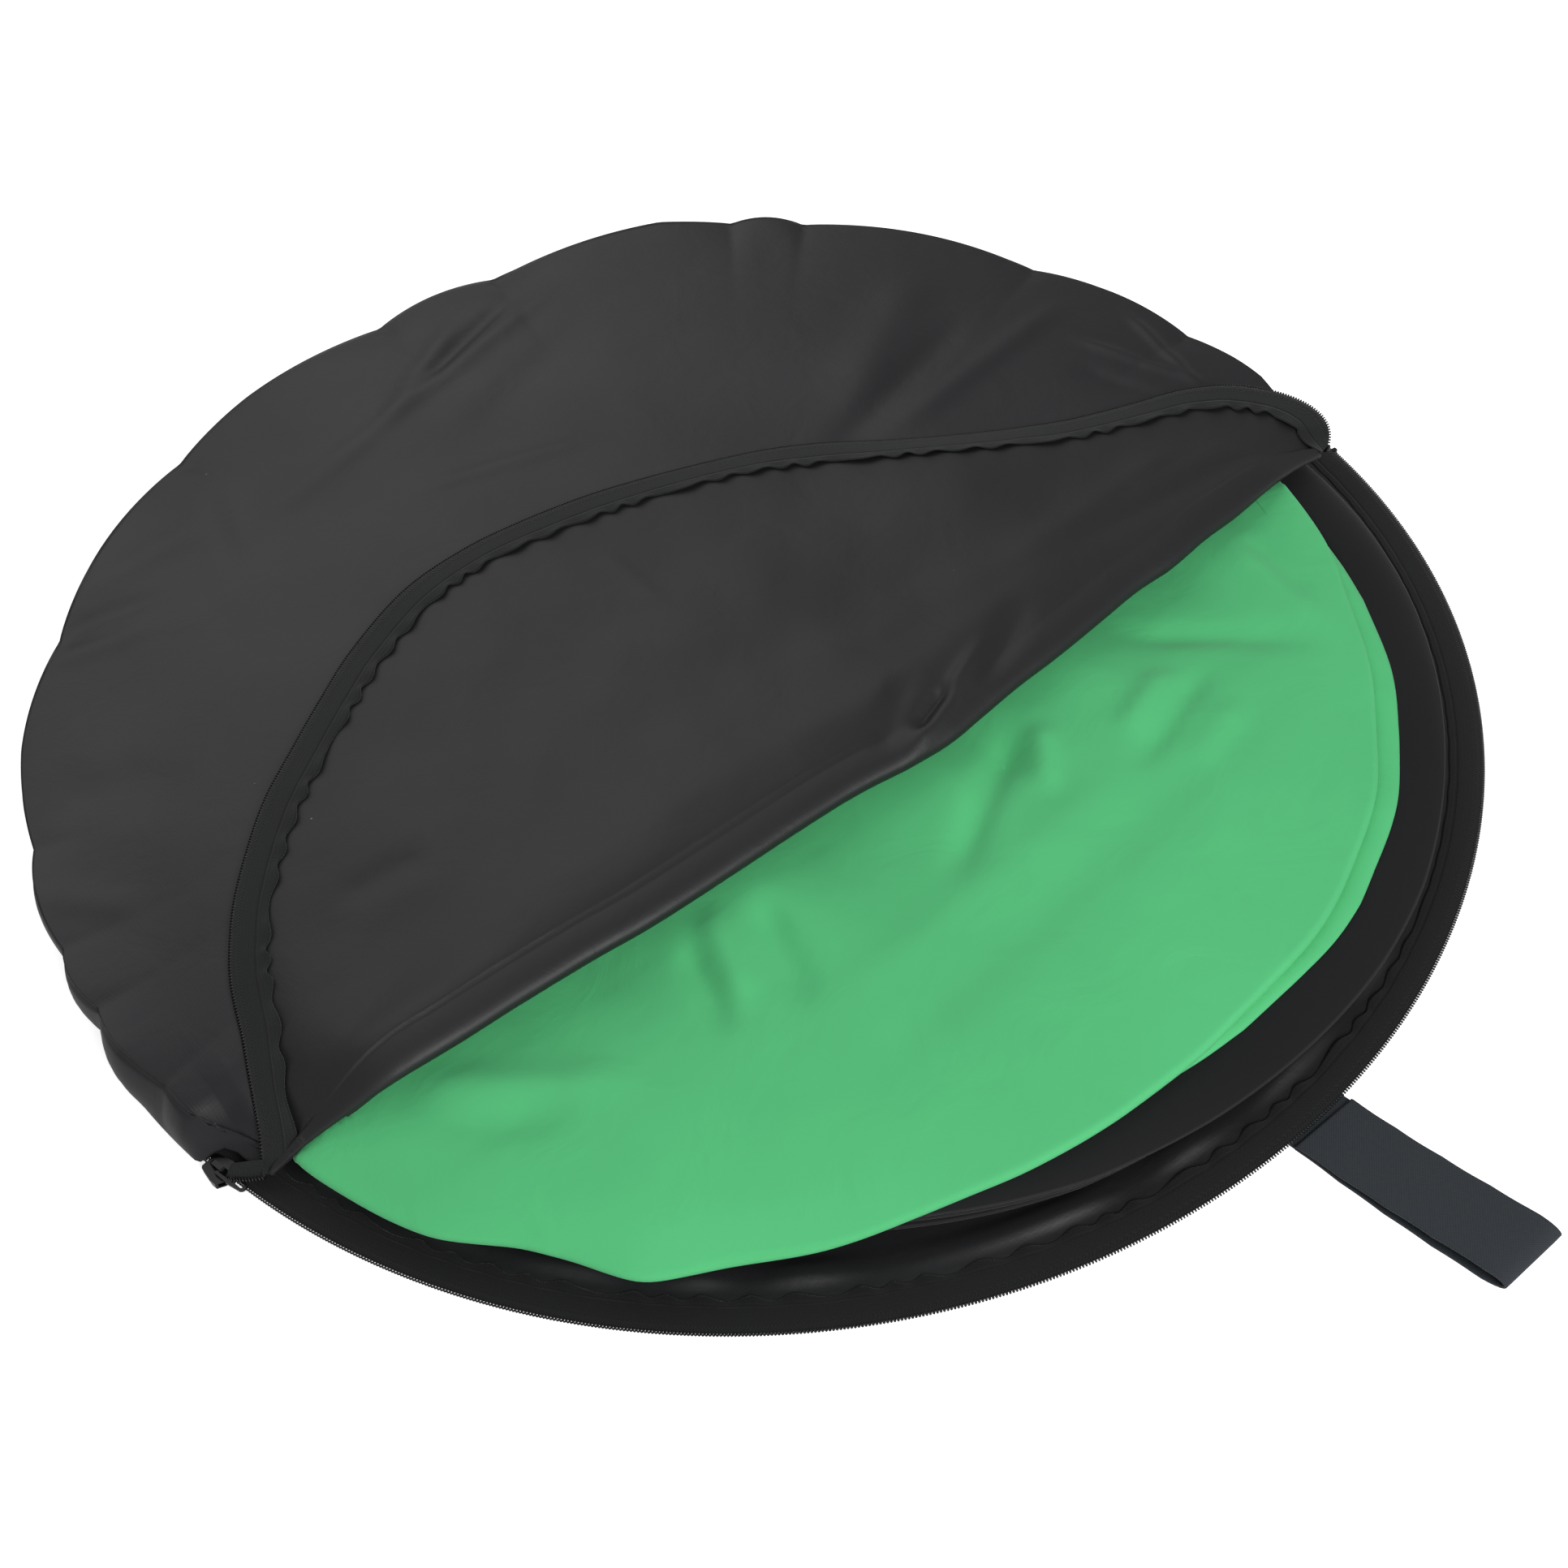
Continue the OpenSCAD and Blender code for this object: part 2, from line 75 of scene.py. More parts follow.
def add(tree, kind, inputs=None, **settings):
    """Adds a shader node; an input is a value, or the output that it is linked to."""
    made = tree.nodes.new("ShaderNode" + kind)
    for name, value in settings.items():
        setattr(made, name, value)
    for name, value in (inputs or {}).items():
        if isinstance(value, bpy.types.NodeSocket):
            tree.links.new(value, made.inputs[name])
        else:
            made.inputs[name].default_value = value
    return made


def placed(name, data):
    """A new object of this data, in the scene."""
    made = bpy.data.objects.new(name, data)
    bpy.context.scene.collection.objects.link(made)
    return made


def new_material(name):
    """A material that has no nodes yet, and its node tree."""
    made = bpy.data.materials.new(name)
    made.use_nodes = True
    made.node_tree.nodes.clear()
    return made, made.node_tree


def maths(tree, operation, *values):
    """The result of an operation on values, each a number or an output."""
    return add(tree, "Math", dict(enumerate(values)), operation=operation).outputs[0]


camera = bpy.data.cameras.new("camera")
camera.lens, camera.sensor_width = 50, 36
eye = placed("camera", camera)
eye_place = (-0.40804, -0.57662, 0.74480)
eye_right, eye_up = Vector((0.76776, -0.63809, -0.05818)), Vector((0.51182, 0.55612, 0.65481))
eye_turn = Matrix((eye_right, eye_up, eye_right.cross(eye_up))).transposed().to_quaternion()
eye.matrix_world = Matrix.LocRotScale(eye_place, eye_turn, None)
bpy.context.scene.camera = eye
bpy.context.scene.view_settings.view_transform = "Standard"

world = bpy.data.worlds.new("studio")
bpy.context.scene.world = world
world.use_nodes = True
sky = world.node_tree
sky.nodes.clear()
rays = add(sky, "LightPath").outputs
white_seen = maths(sky, "MAXIMUM", rays["Is Camera Ray"], rays["Is Transmission Ray"])
dome_light = add(sky, "Background", {"Color": to_linear("#ffffff"), "Strength": 0.27})
paper_white = add(sky, "Background", {"Color": to_linear("#ffffff"), "Strength": 1.0})
either = add(sky, "MixShader", {0: white_seen, 1: dome_light.outputs[0], 2: paper_white.outputs[0]})
add(sky, "OutputWorld", {"Surface": either.outputs[0]})


def soft_box(name, place, size, power):
    """A square area lamp at place, turned to the middle of the bag's base."""
    lamp = bpy.data.lights.new(name, "AREA")
    lamp.shape, lamp.size, lamp.energy = "SQUARE", size, power
    turn = (-Vector(place)).to_track_quat("-Z", "Y")
    placed(name, lamp).matrix_world = Matrix.LocRotScale(place, turn, None)


soft_box("soft_box_behind", (0.2, 1.35, 1.5), 2.0, 12)
soft_box("soft_box_front", (-0.2, -1.7, 1.3), 1.0, 30)

floor_mesh = bpy.data.meshes.new("floor")
floor_mesh.from_pydata([(-6, -6, 0), (6, -6, 0), (6, 6, 0), (-6, 6, 0)], [], [(0, 1, 2, 3)])
floor = placed("floor", floor_mesh)
# Matt paper that is pure white to the lens and still takes the bag's shadow.
paper, tree = new_material("matt_paper")
rays = add(tree, "LightPath").outputs
plain = add(tree, "BsdfDiffuse", {"Color": to_linear("#f4f4f4")}).outputs[0]
lift = add(tree, "Emission", {"Color": to_linear("#ffffff"), "Strength": 0.7}).outputs[0]
both = add(tree, "AddShader", {0: plain, 1: lift}).outputs[0]
shown = add(tree, "MixShader", {0: rays["Is Camera Ray"], 1: plain, 2: both})
add(tree, "OutputMaterial", {"Surface": shown.outputs[0]})
floor_mesh.materials.append(paper)
floor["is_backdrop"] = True


# ---------------------------------------------------------------- Base panel
# The round bottom of the bag: one circle of coated polyester, laid flat on the ground. Its rim
# is caught in the zip round the front and in the side wall round the back, and lifts a little
# there. Between the folded disc and the zip its slack shows as low waves.

MM = 0.001


def smooth(x, low, high):
    """Smooth step from 0 at low to 1 at high."""
    t = np.clip((x - low) / (high - low), 0, 1)
    return t * t * (3 - 2 * t)


def ripple(x, y, wavelength, seed, count=7):
    """A calm random swell from -1 to 1: the mean of plane waves of about one wavelength."""
    draw = np.random.default_rng(seed)
    turn, phase = draw.uniform(0, 2 * np.pi, (2, count))
    k = 2 * np.pi / (wavelength * draw.uniform(0.7, 1.4, count))
    x, y = np.asarray(x)[..., None], np.asarray(y)[..., None]
    return np.sin(k * (x * np.cos(turn) + y * np.sin(turn)) + phase).sum(-1) / count**0.5 / 1.6


def polar(r, a, z):
    """Points at radius r, angle a and height z."""
    return np.stack(np.broadcast_arrays(r * np.cos(a), r * np.sin(a), z), -1)


def surface(name, points, material, uv=None, closed=False, pole=False, flip=False):
    """A sheet of quads through points[row, column]. closed joins the last column to the first,
    pole closes the first row with a fan, and flip turns the faces over. uv is in metres."""
    rows, columns = points.shape[:2]
    index = np.arange(rows * columns).reshape(rows, columns)
    if closed:
        index = np.concatenate([index, index[:, :1]], 1)
    quads = np.stack([index[:-1, :-1], index[:-1, 1:], index[1:, 1:], index[1:, :-1]], -1).reshape(-1, 4)
    flat = points.reshape(-1, 3)
    corners, sizes = quads.ravel(), np.full(len(quads), 4)
    if pole:
        fan = np.stack([np.full(index.shape[1] - 1, len(flat)), index[0, 1:], index[0, :-1]], 1)
        flat = np.concatenate([flat, points[0].mean(0)[None]])
        corners, sizes = np.concatenate([corners, fan.ravel()]), np.concatenate([sizes, np.full(len(fan), 3)])
    starts = np.concatenate([[0], np.cumsum(sizes)[:-1]])
    if flip:
        corners = np.concatenate([c[::-1] for c in (corners[: 4 * len(quads)], corners[4 * len(quads) :])])
    mesh = bpy.data.meshes.new(name)
    mesh.vertices.add(len(flat))
    mesh.vertices.foreach_set("co", flat.astype(np.float32).ravel())
    mesh.loops.add(len(corners))
    mesh.loops.foreach_set("vertex_index", corners.astype(np.int32))
    mesh.polygons.add(len(sizes))
    mesh.polygons.foreach_set("loop_start", starts.astype(np.int32))
    mesh.polygons.foreach_set("use_smooth", np.ones(len(sizes), bool))
    mesh.update(calc_edges=True)
    if uv is not None:
        at = np.concatenate([uv.reshape(-1, 2), uv[0].mean(0)[None]]) if pole else uv.reshape(-1, 2)
        mesh.uv_layers.new(name="metres").data.foreach_set("uv", at[corners].astype(np.float32).ravel())
    mesh.materials.append(material)
    mesh.validate()
    return placed(name, mesh)


def thicken(piece, thickness, offset=-1.0):
    """Gives a sheet its cloth's thickness, behind its faces unless offset says otherwise."""
    wall = piece.modifiers.new("cloth", "SOLIDIFY")
    wall.thickness, wall.offset, wall.use_rim = thickness, offset, True


def noise(tree, place, scale, detail, roughness=0.5, distortion=0.0):
    """Cloudy noise around 0.5, with scale cells to the metre."""
    inputs = {"Vector": place, "Scale": scale, "Detail": detail}
    return add(tree, "TexNoise", inputs | {"Roughness": roughness, "Distortion": distortion}).outputs["Fac"]


def ramp(tree, value, low, high, start=0.0, end=1.0):
    """Goes straight from start to end as the value goes from low to high."""
    inputs = {"Value": value, "From Min": low, "From Max": high, "To Min": start, "To Max": end}
    return add(tree, "MapRange", inputs).outputs[0]


def blend(tree, amount, first, second):
    """A colour that goes from the first to the second as amount goes from 0 to 1."""
    return add(tree, "Mix", {"Factor": amount, "A": first, "B": second}, data_type="RGBA").outputs["Result"]


def tones(tree, amount, colour, dark, light):
    """The colour times dark, up to the colour times light as amount goes from 0 to 1."""
    ends = [[c * f for c in to_linear(colour)[:3]] + [1.0] for f in (dark, light)]
    return blend(tree, amount, *ends)


def bump(tree, height, strength, distance, under=None):
    """Relief of the height times distance, laid over another relief where that is given."""
    inputs = {"Height": height, "Strength": strength, "Distance": distance}
    if under is not None:
        inputs["Normal"] = under
    return add(tree, "Bump", inputs).outputs["Normal"]


def finished(made, colour, roughness, rest, relief=None):
    """The material with its Principled surface. rest holds further inputs of it by their names."""
    inputs = {"Base Color": colour, "Roughness": roughness} | rest
    if relief is not None:
        inputs["Normal"] = relief
    skin = add(made.node_tree, "BsdfPrincipled", inputs)
    add(made.node_tree, "OutputMaterial", {"Surface": skin.outputs[0]})
    return made


def coated_polyester(name, colour, roughness):
    """Woven polyester with a polyurethane coat: a dull plastic film over a fine plain weave. It
    gives a broad soft shine that breaks on small creases, and it holds grains of dust."""
    made, tree = new_material(name)
    place = add(tree, "TexCoord").outputs["Object"]
    cloudy = noise(tree, place, 9.0, 3.0)
    # Plain weave of 0.3 mm yarns, drawn 1.5 mm coarse so that it shows.
    bands = {"Vector": place, "Scale": 209.0}
    weft, warp = (add(tree, "TexWave", bands, bands_direction=way).outputs["Fac"] for way in "XY")
    # Handling creases, 5 to 30 mm long.
    crease = noise(tree, place, 34.0, 5.0, roughness=0.55, distortion=0.6)
    # Dust: at most one grain, up to 0.9 mm wide, to a cell of 30 mm.
    cell = add(tree, "TexVoronoi", {"Vector": place, "Scale": 34.0, "Randomness": 1.0})
    grain = maths(tree, "LESS_THAN", cell.outputs["Distance"], 0.016)
    dusty = blend(tree, grain, tones(tree, cloudy, colour, 0.86, 1.12), to_linear("#6b6b6d"))
    rough = ramp(tree, cloudy, 0.3, 0.7, roughness - 0.04, roughness + 0.05)
    creased = bump(tree, crease, 0.55, 1.1 * MM)
    woven = bump(tree, maths(tree, "MULTIPLY", weft, warp), 0.06, 0.2 * MM, creased)
    return finished(made, dusty, rough, {"IOR": 1.5, "Specular IOR Level": 0.42}, woven)


bag_inside = coated_polyester("pu_coated_polyester_inside", "#202022", 0.5)
bag_thick = 0.7 * MM

around = np.linspace(0, 2 * np.pi, 361)[:-1]
# Its rings lie closer together where the slack is.
out_r = np.concatenate([np.linspace(8, 264, 22), np.linspace(270, 319.5, 34)]) * MM
r, a = np.meshgrid(out_r, around, indexing="ij")
x, y = r * np.cos(a), r * np.sin(a)
slack = smooth(r, 296 * MM, 303 * MM) * (1 - smooth(r, 306 * MM, 312 * MM))
waves = 0.55 + 0.45 * np.sin(32 * a + 2.0 * np.sin(5 * a) + 1.2 * np.sin(11 * a))
z = (1.2 + 1.9 * smooth(r, 286 * MM, 310 * MM) + 2.4 * slack * waves) * MM
z += 0.5 * MM * ripple(x, y, 70 * MM, 4) * (1 - smooth(r, 250 * MM, 290 * MM))
base = surface("base_cloth", np.stack([x, y, z], -1), bag_inside, closed=True, pole=True, flip=True)
thicken(base, bag_thick)
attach(base, "bag")
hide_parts("base_panel")


# ---------------------------------------------------------------- Lower half of the zip
# A woven tape with a nylon coil sewn along its outer edge, stitched to the rim of the base round
# the front. The tape is straight goods laid round a circle, so its inner edge is too long and
# stands in ruffles. The coil is one thread of nylon, wound on a former.


def sine(tree, value, length):
    """A sine wave over a value, one turn to a length."""
    return maths(tree, "SINE", maths(tree, "MULTIPLY", value, 2 * math.pi / length))


def stripe(tree, value, middle, full, gone):
    """1 as far as full from the middle of a value, and 0 beyond gone."""
    off = maths(tree, "ABSOLUTE", maths(tree, "SUBTRACT", value, middle))
    return ramp(tree, off, full, gone, 1.0, 0.0)


def woven_tape(name, colour):
    """Polyester zip tape, woven in a fine twill, with one row of stitches and chevron sewing.
    It is matt. Its colour is painted lighter on raised threads and chevrons, as small highlights,
    and darker in the sunk row of stitches, as shade. It reads the strip's own UV, whose first
    coordinate is the length and whose second is the distance from the coil."""
    made, tree = new_material(name)
    place = add(tree, "UVMap", uv_map="metres").outputs["UV"]
    parts = add(tree, "SeparateXYZ", {"Vector": place}).outputs
    along, across = parts["X"], parts["Y"]
    # Twill lines at 45 degrees, 1.0 mm apart along the tape, and faint warp cords 1.6 mm apart.
    twill = sine(tree, maths(tree, "ADD", along, across), 1.0 * MM)
    cords = sine(tree, across, 1.6 * MM)
    weave = maths(tree, "MULTIPLY_ADD", cords, 0.35, twill)
    grainy = maths(tree, "MULTIPLY_ADD", noise(tree, place, 1100.0, 2.0), 3.4, weave)
    # One row of stitches sinks into the tape 10.5 mm from the coil.
    seam_line = stripe(tree, across, 10.5 * MM, 0.3 * MM, 0.8 * MM)
    # The coil's own sewing: small chevrons that point along the tape, 1.0 to 3.4 mm from the coil.
    beside = maths(tree, "ABSOLUTE", maths(tree, "SUBTRACT", across, 2.2 * MM))
    chevron = sine(tree, maths(tree, "ADD", along, beside), 1.5 * MM)
    sewn = maths(tree, "MULTIPLY", maths(tree, "LESS_THAN", beside, 1.2 * MM), chevron)
    sunk = maths(tree, "MULTIPLY_ADD", seam_line, -7.0, grainy)
    raised = maths(tree, "MULTIPLY_ADD", sewn, 2.2, sunk)
    relief = bump(tree, raised, 0.5, 0.12 * MM)
    # Painted light: the colour follows the relief, lighter on raised threads and chevrons as highlights and
    # darker in the sunk seam as shade.
    tone = tones(tree, ramp(tree, raised, -1.2, 4.2), colour, 0.55, 1.7)
    rest = {"IOR": 1.5, "Specular IOR Level": 0.35, "Sheen Weight": 0.12, "Sheen Roughness": 0.5}
    return finished(made, tone, 0.82, rest, relief)


def lengths(line):
    """Distance along a line of points, from its first point."""
    return np.concatenate([[0], np.cumsum(np.linalg.norm(np.diff(line, axis=0), axis=1))])


def sample(line, at, s):
    """Points at the distances at of a line, where s is the distance of each of its own points."""
    return np.stack([np.interp(at, s, line[:, k]) for k in range(3)], 1)


def unit(v):
    """Arrows made 1 long."""
    return v / np.maximum(np.linalg.norm(v, axis=-1, keepdims=True), 1e-12)


def ruffle(s):
    """Waves of the free edge of a tape, about 18 mm long and uneven, from -1 to 1."""
    way = 2 * np.pi * s
    return np.sin(way / 0.018 + 1.4 * np.sin(way / 0.083) + 0.9 * np.sin(way / 0.047))


def strip_uv(s, w):
    """UV of a strip, in metres: the length s first and the width w second."""
    return np.stack(np.broadcast_arrays(s, w), -1)


tape_wide = 0.016


def tape_strip(name, edge, inward, normal, wave, material, width=tape_wide, drop=0.0, over=None, share=1.0):
    """A tape between its coil edge and the line width inward of it. Across the strip it lies flat
    to the row of stitches, and from there its free edge waves in and out and up and down. Where
    over(x, y) is given, the tape lies on that height. share is the part of its width that shows."""
    s = lengths(edge)[:, None]
    # Its first column lies just outside of the edge, under the coil.
    w = np.array([-0.6, 1.5, 3, 4.5, 6, 8, 10, 12, 13, 14, 15, 16]) / 16 * width
    free = np.clip((w - 0.68 * width) / (0.32 * width), 0, 1) ** 1.3
    rise = wave * free * (0.35 + 0.65 * ruffle(s)) + 0.0002 * np.sin(np.pi * w / width)
    rise -= drop * (w / width) ** 2
    reach = (w + wave * free * ruffle(s + 0.004)) * (np.zeros(len(s)) + share)[:, None]
    normal = np.broadcast_to(normal, edge.shape)
    points = edge[:, None] + inward[:, None] * reach[..., None] + normal[:, None] * rise[..., None]
    if over:
        points[..., 2] = np.maximum(points[..., 2], over(points[..., 0], points[..., 1]) + 0.6 * MM)
    return surface(name, points, material, uv=strip_uv(s, w[None]))


def nylon(name, colour, roughness):
    """Drawn nylon monofilament: a smooth, slightly glossy plastic thread."""
    made, tree = new_material(name)
    worn = noise(tree, add(tree, "TexCoord").outputs["Object"], 240.0, 2.0)
    tone = tones(tree, worn, colour, 0.7, 1.5)
    return finished(made, tone, roughness, {"IOR": 1.53, "Specular IOR Level": 0.5})


def coil(name, line, up, material, pitch=0.00135, wide=0.00062, high=0.0006, thread=0.00038):
    """One nylon thread wound along a line: a helix of oval section, swept by a round thread. The
    helix runs over the line's frame (up, and up x along), and the thread over the helix's own. up
    is one arrow, or one to a point of the line."""
    s = lengths(line)
    steps = int(s[-1] / pitch) * 10
    at = np.linspace(0, s[-1], steps)
    centre, above = sample(line, at, s), unit(sample(np.broadcast_to(up, line.shape), at, s))
    aside = unit(np.cross(above, np.gradient(centre, axis=0)))
    turn = (2 * np.pi * at / pitch)[:, None]
    offset = high * np.sin(turn) * above + wide * np.cos(turn) * aside
    helix, out_way = centre + offset, unit(offset)
    third = unit(np.cross(np.gradient(helix, axis=0), out_way))
    round_it = np.linspace(0, 2 * np.pi, 6)[:-1][None, :, None]
    tube = helix[:, None] + thread * (np.cos(round_it) * out_way[:, None] + np.sin(round_it) * third[:, None])
    return surface(name, tube, material, closed=True)


tape_cloth = woven_tape("woven_polyester_tape", "#131516")
coil_nylon = nylon("drawn_nylon_coil", "#101112", 0.34)
tape_thick = 0.5 * MM

zip_angle = np.radians(np.linspace(-177, -9.5, 700))
towards, upward = -polar(1, zip_angle, 0), (0.0, 0.0, 1.0)
lower_edge = polar(328 * MM, zip_angle, 3.7 * MM)
# It stands in ruffles at the left and is sewn on tighter towards the right.
slackness = (1 - 0.85 * smooth(np.degrees(zip_angle), -85, -62))[:, None]
# Painted shade: the lower tape is the same tape as the upper one, its colour darkened because it lies in
# shade.
shaded_lower_tape_cloth = woven_tape("woven_polyester_tape_painted_shade", "#0a0b0b")
ruffle_high = 0.0011
lower_tape = tape_strip(
    "lower_zip_tape_cloth", lower_edge, towards, upward, ruffle_high * slackness, shaded_lower_tape_cloth,
    width=0.0138, drop=0.0006,
)
thicken(lower_tape, tape_thick)
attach(lower_tape, "bag")
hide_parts("lower_zip_tape")

coil_angle = np.radians(np.linspace(-175, -12.5, 500))
lower_coil = coil("lower_coil_turns", polar(328.7 * MM, coil_angle, 3.6 * MM), upward, coil_nylon)
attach(lower_coil, "bag")
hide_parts("lower_zip_coil")


# ---------------------------------------------------------------- Roof and side wall
# The back part of the bag's round top, and the gusset that joins it to the base. One seam runs
# round between them. The cloth is slack, so the seam hangs in scallops and the roof has folds.
# Along the front the roof ends in the roll where the top is turned back.

bag_outside = coated_polyester("pu_coated_polyester_outside", "#202023", 0.46)


def through(knots, count):
    """A smooth line of count points, evenly spaced, through knots in millimetres (Catmull-Rom)."""
    k = np.array(knots, float) * MM
    k = np.concatenate([[2 * k[0] - k[1]], k, [2 * k[-1] - k[-2]]])
    t = np.linspace(0, 1, 25)[:-1, None]
    parts = [
        0.5 * (2 * b + (c - a) * t + (2 * a - 5 * b + 4 * c - d) * t**2 + (3 * b - a - 3 * c + d) * t**3)
        for a, b, c, d in zip(k, k[1:], k[2:], k[3:])
    ]
    line = np.concatenate(parts + [k[-2:-1]])
    s = lengths(line)
    return sample(line, np.linspace(0, s[-1], count), s)


# Nose of the roll, from the left corner to the right end.
nose = through([
    (-311.5, -77.5, 11), (-303, -79.5, 17), (-291, -84, 26), (-274, -90, 36), (-255, -94.5, 43),
    (-228, -97.5, 45), (-200, -98.5, 45), (-166, -100.5, 45), (-130, -103.5, 45), (-57, -105, 45),
    (-28, -106.5, 45), (0, -110.5, 45), (20, -111.5, 45), (40, -109.5, 45), (64, -107, 45),
    (90, -105.3, 44.5), (118, -102.5, 44), (146, -99.5, 43.5), (169, -99.3, 43), (195, -96, 42.3),
    (217, -94.5, 41.3), (240, -91.5, 40.2), (252, -90, 39), (270, -87.5, 35), (288, -86, 30),
], 400)
nose_share = lengths(nose) / lengths(nose)[-1]
# Outer edge of the flap, the line of its coil, from the left corner to the right end.
rim = through([
    (-313.5, -75.6, 8.5), (-309.2, -69.5, 14), (-305.2, -63.3, 19), (-300.7, -54, 23.5),
    (-295.1, -42.4, 28.5), (-288.9, -29.1, 32.5), (-284.1, -16.7, 35), (-279.3, -6, 37.5),
    (-272, 6, 40), (-258.6, 24, 43), (-239, 44, 46), (-220.6, 60, 48), (-200, 74, 49), (-171, 93, 50),
    (-144, 109, 50.5), (-107, 124, 51), (-72.5, 128, 51), (-42.5, 125.5, 51), (-7, 119, 50.5),
    (24, 109.5, 50), (55.6, 98, 49), (82, 86.5, 48), (106, 72.5, 46.5), (131, 54, 45),
    (165.6, 30.6, 43.5), (200, 10.4, 42.5), (220, 1.5, 42), (242, -6, 41), (263, -13, 40.5),
    (281, -24, 40.5), (291.5, -36, 40.5), (298.5, -48, 40), (302.5, -59, 39), (303.8, -68, 37.5),
    (302.5, -75.5, 35.5), (299, -81, 32.5), (294.5, -84.5, 29.5),
], 1200)


def roll_half(x):
    """Half the height of the roll: soft in the middle, pinched at both ends."""
    thick = 3.9 * smooth(x, -312 * MM, -240 * MM) * (1 - 0.8 * smooth(x, 215 * MM, 290 * MM))
    return (0.7 + 0.6 * smooth(x, -300 * MM, -262 * MM) + thick) * MM


# The seam between roof and side wall, point by point: its angle, its radius and its height.
seam_at = np.radians([
    -90, -40, -24, -16, -5, 5, 15, 25, 35, 45, 60, 75, 90, 105, 130, 150, 170, 180, 183, 186.9, 188.8,
    190.9, 192.3, 194, 204, 215, 270,
])
seam_r = MM * np.array([
    330, 330, 320, 304, 311, 311, 313, 316, 320, 324, 327, 321, 320, 323, 325, 330, 331, 329, 327, 326,
    321, 317, 315, 313, 320, 330, 330,
])
seam_z = MM * np.array([
    22, 22, 24, 28, 32, 33, 33, 34, 36, 38, 42, 39, 39, 41, 43, 42, 38, 33, 29, 25, 18, 15, 15, 14, 18,
    22, 22,
])
# Angles at which the slack seam is held up short: between them it bags outwards.
pinches = np.radians([-16, 4, 22, 46, 53, 77.5, 90, 115, 138, 160, 170, 176, 184, 194])


def bagging(a):
    """0 at a pinch of the seam, and 1 half way between two of them."""
    k = np.clip(np.searchsorted(pinches, a) - 1, 0, len(pinches) - 2)
    part = np.clip((a - pinches[k]) / (pinches[k + 1] - pinches[k]), 0, 1)
    return np.sin(np.pi * part) ** 0.8


def seam(a):
    """Radius and height of the seam between roof and side wall, at angles a from -90 to 270."""
    bag = bagging(a) * smooth(a, math.radians(-16), math.radians(0))
    bag = bag * (1 - smooth(a, math.radians(176), math.radians(194)))
    r, z = np.interp(a, seam_at, seam_r), np.interp(a, seam_at, seam_z)
    return r + (3.0 * bag - 1.5) * MM, z + (2.4 * bag - 1.2) * MM


def fold(x, y, start, end, wide, deep):
    """A soft ridge, or a valley where deep is negative, from start to end in millimetres. Its
    section is a bell of half width wide, and it fades away at both ends."""
    s, e = np.array(start) * MM, np.array(end) * MM
    d = e - s
    long = np.hypot(*d)
    along = ((x - s[0]) * d[0] + (y - s[1]) * d[1]) / long**2
    across = ((x - s[0]) * d[1] - (y - s[1]) * d[0]) / long
    fade = smooth(along, -0.15, 0.25) * (1 - smooth(along, 0.7, 1.15))
    return deep * MM * np.exp(-((across / (wide * MM)) ** 2)) * fade


def folds(x, y, creases):
    """The sum of all folds of a list."""
    return sum(fold(x, y, *crease) for crease in creases)


# Creases of the roof: start, end, half width and height. Valleys have a negative height.
roof_creases = [
    ((-120, 265), (-150, 190), 10, -1.5), ((-142, 262), (-170, 165), 10, 1.1),
    ((60, 284), (-13, 254), 5, -2.2), ((27, 286), (-43, 241), 6, 1.6), ((75, 272), (-69, 233), 6, 2.0),
    ((-60, 236), (-121, 222), 9, 1.5), ((83, 240), (-34, 193), 15, -1.9),
    ((-60, 183), (28, 154), 5, 1.2), ((237, 151), (131, 89), 15, 2.0), ((223, 104), (100, 66), 9, -2.0),
    ((271, 82), (140, 60), 7, 1.6), ((260, 52), (283, -10), 4, 1.5), ((297, 54), (281, -13), 4, 1.5),
    ((242, 35), (260, -16), 6, -1.4), ((-219, 238), (-148, 237), 10, 1.5),
    ((-253, 207), (-205, 193), 6, 1.3), ((-239, 222), (-191, 209), 6, -1.4),
    ((-290, 134), (-240, 98), 16, -2.0), ((-321, 90), (-290, 55), 8, 1.2),
]


def calm(values, count):
    """A table of values with its corners rounded over count places."""
    window = np.hanning(count + 2)[1:-1]
    return np.convolve(np.pad(values, count // 2, "edge"), window / window.sum(), "valid")


soft_at = np.radians(np.arange(-90, 271))
soft_z = calm(seam(soft_at)[1], 41)
middle_x = np.linspace(-330, 330, 661) * MM
middle_knots = np.array([
    (-310, 35), (-290, 38), (-280, 39.5), (-260, 42.5), (-200, 46.5), (0, 48.5), (130, 45), (200, 42),
    (260, 39.5), (310, 37),
]).T
middle_z = calm(np.interp(middle_x / MM, *middle_knots), 61) * MM


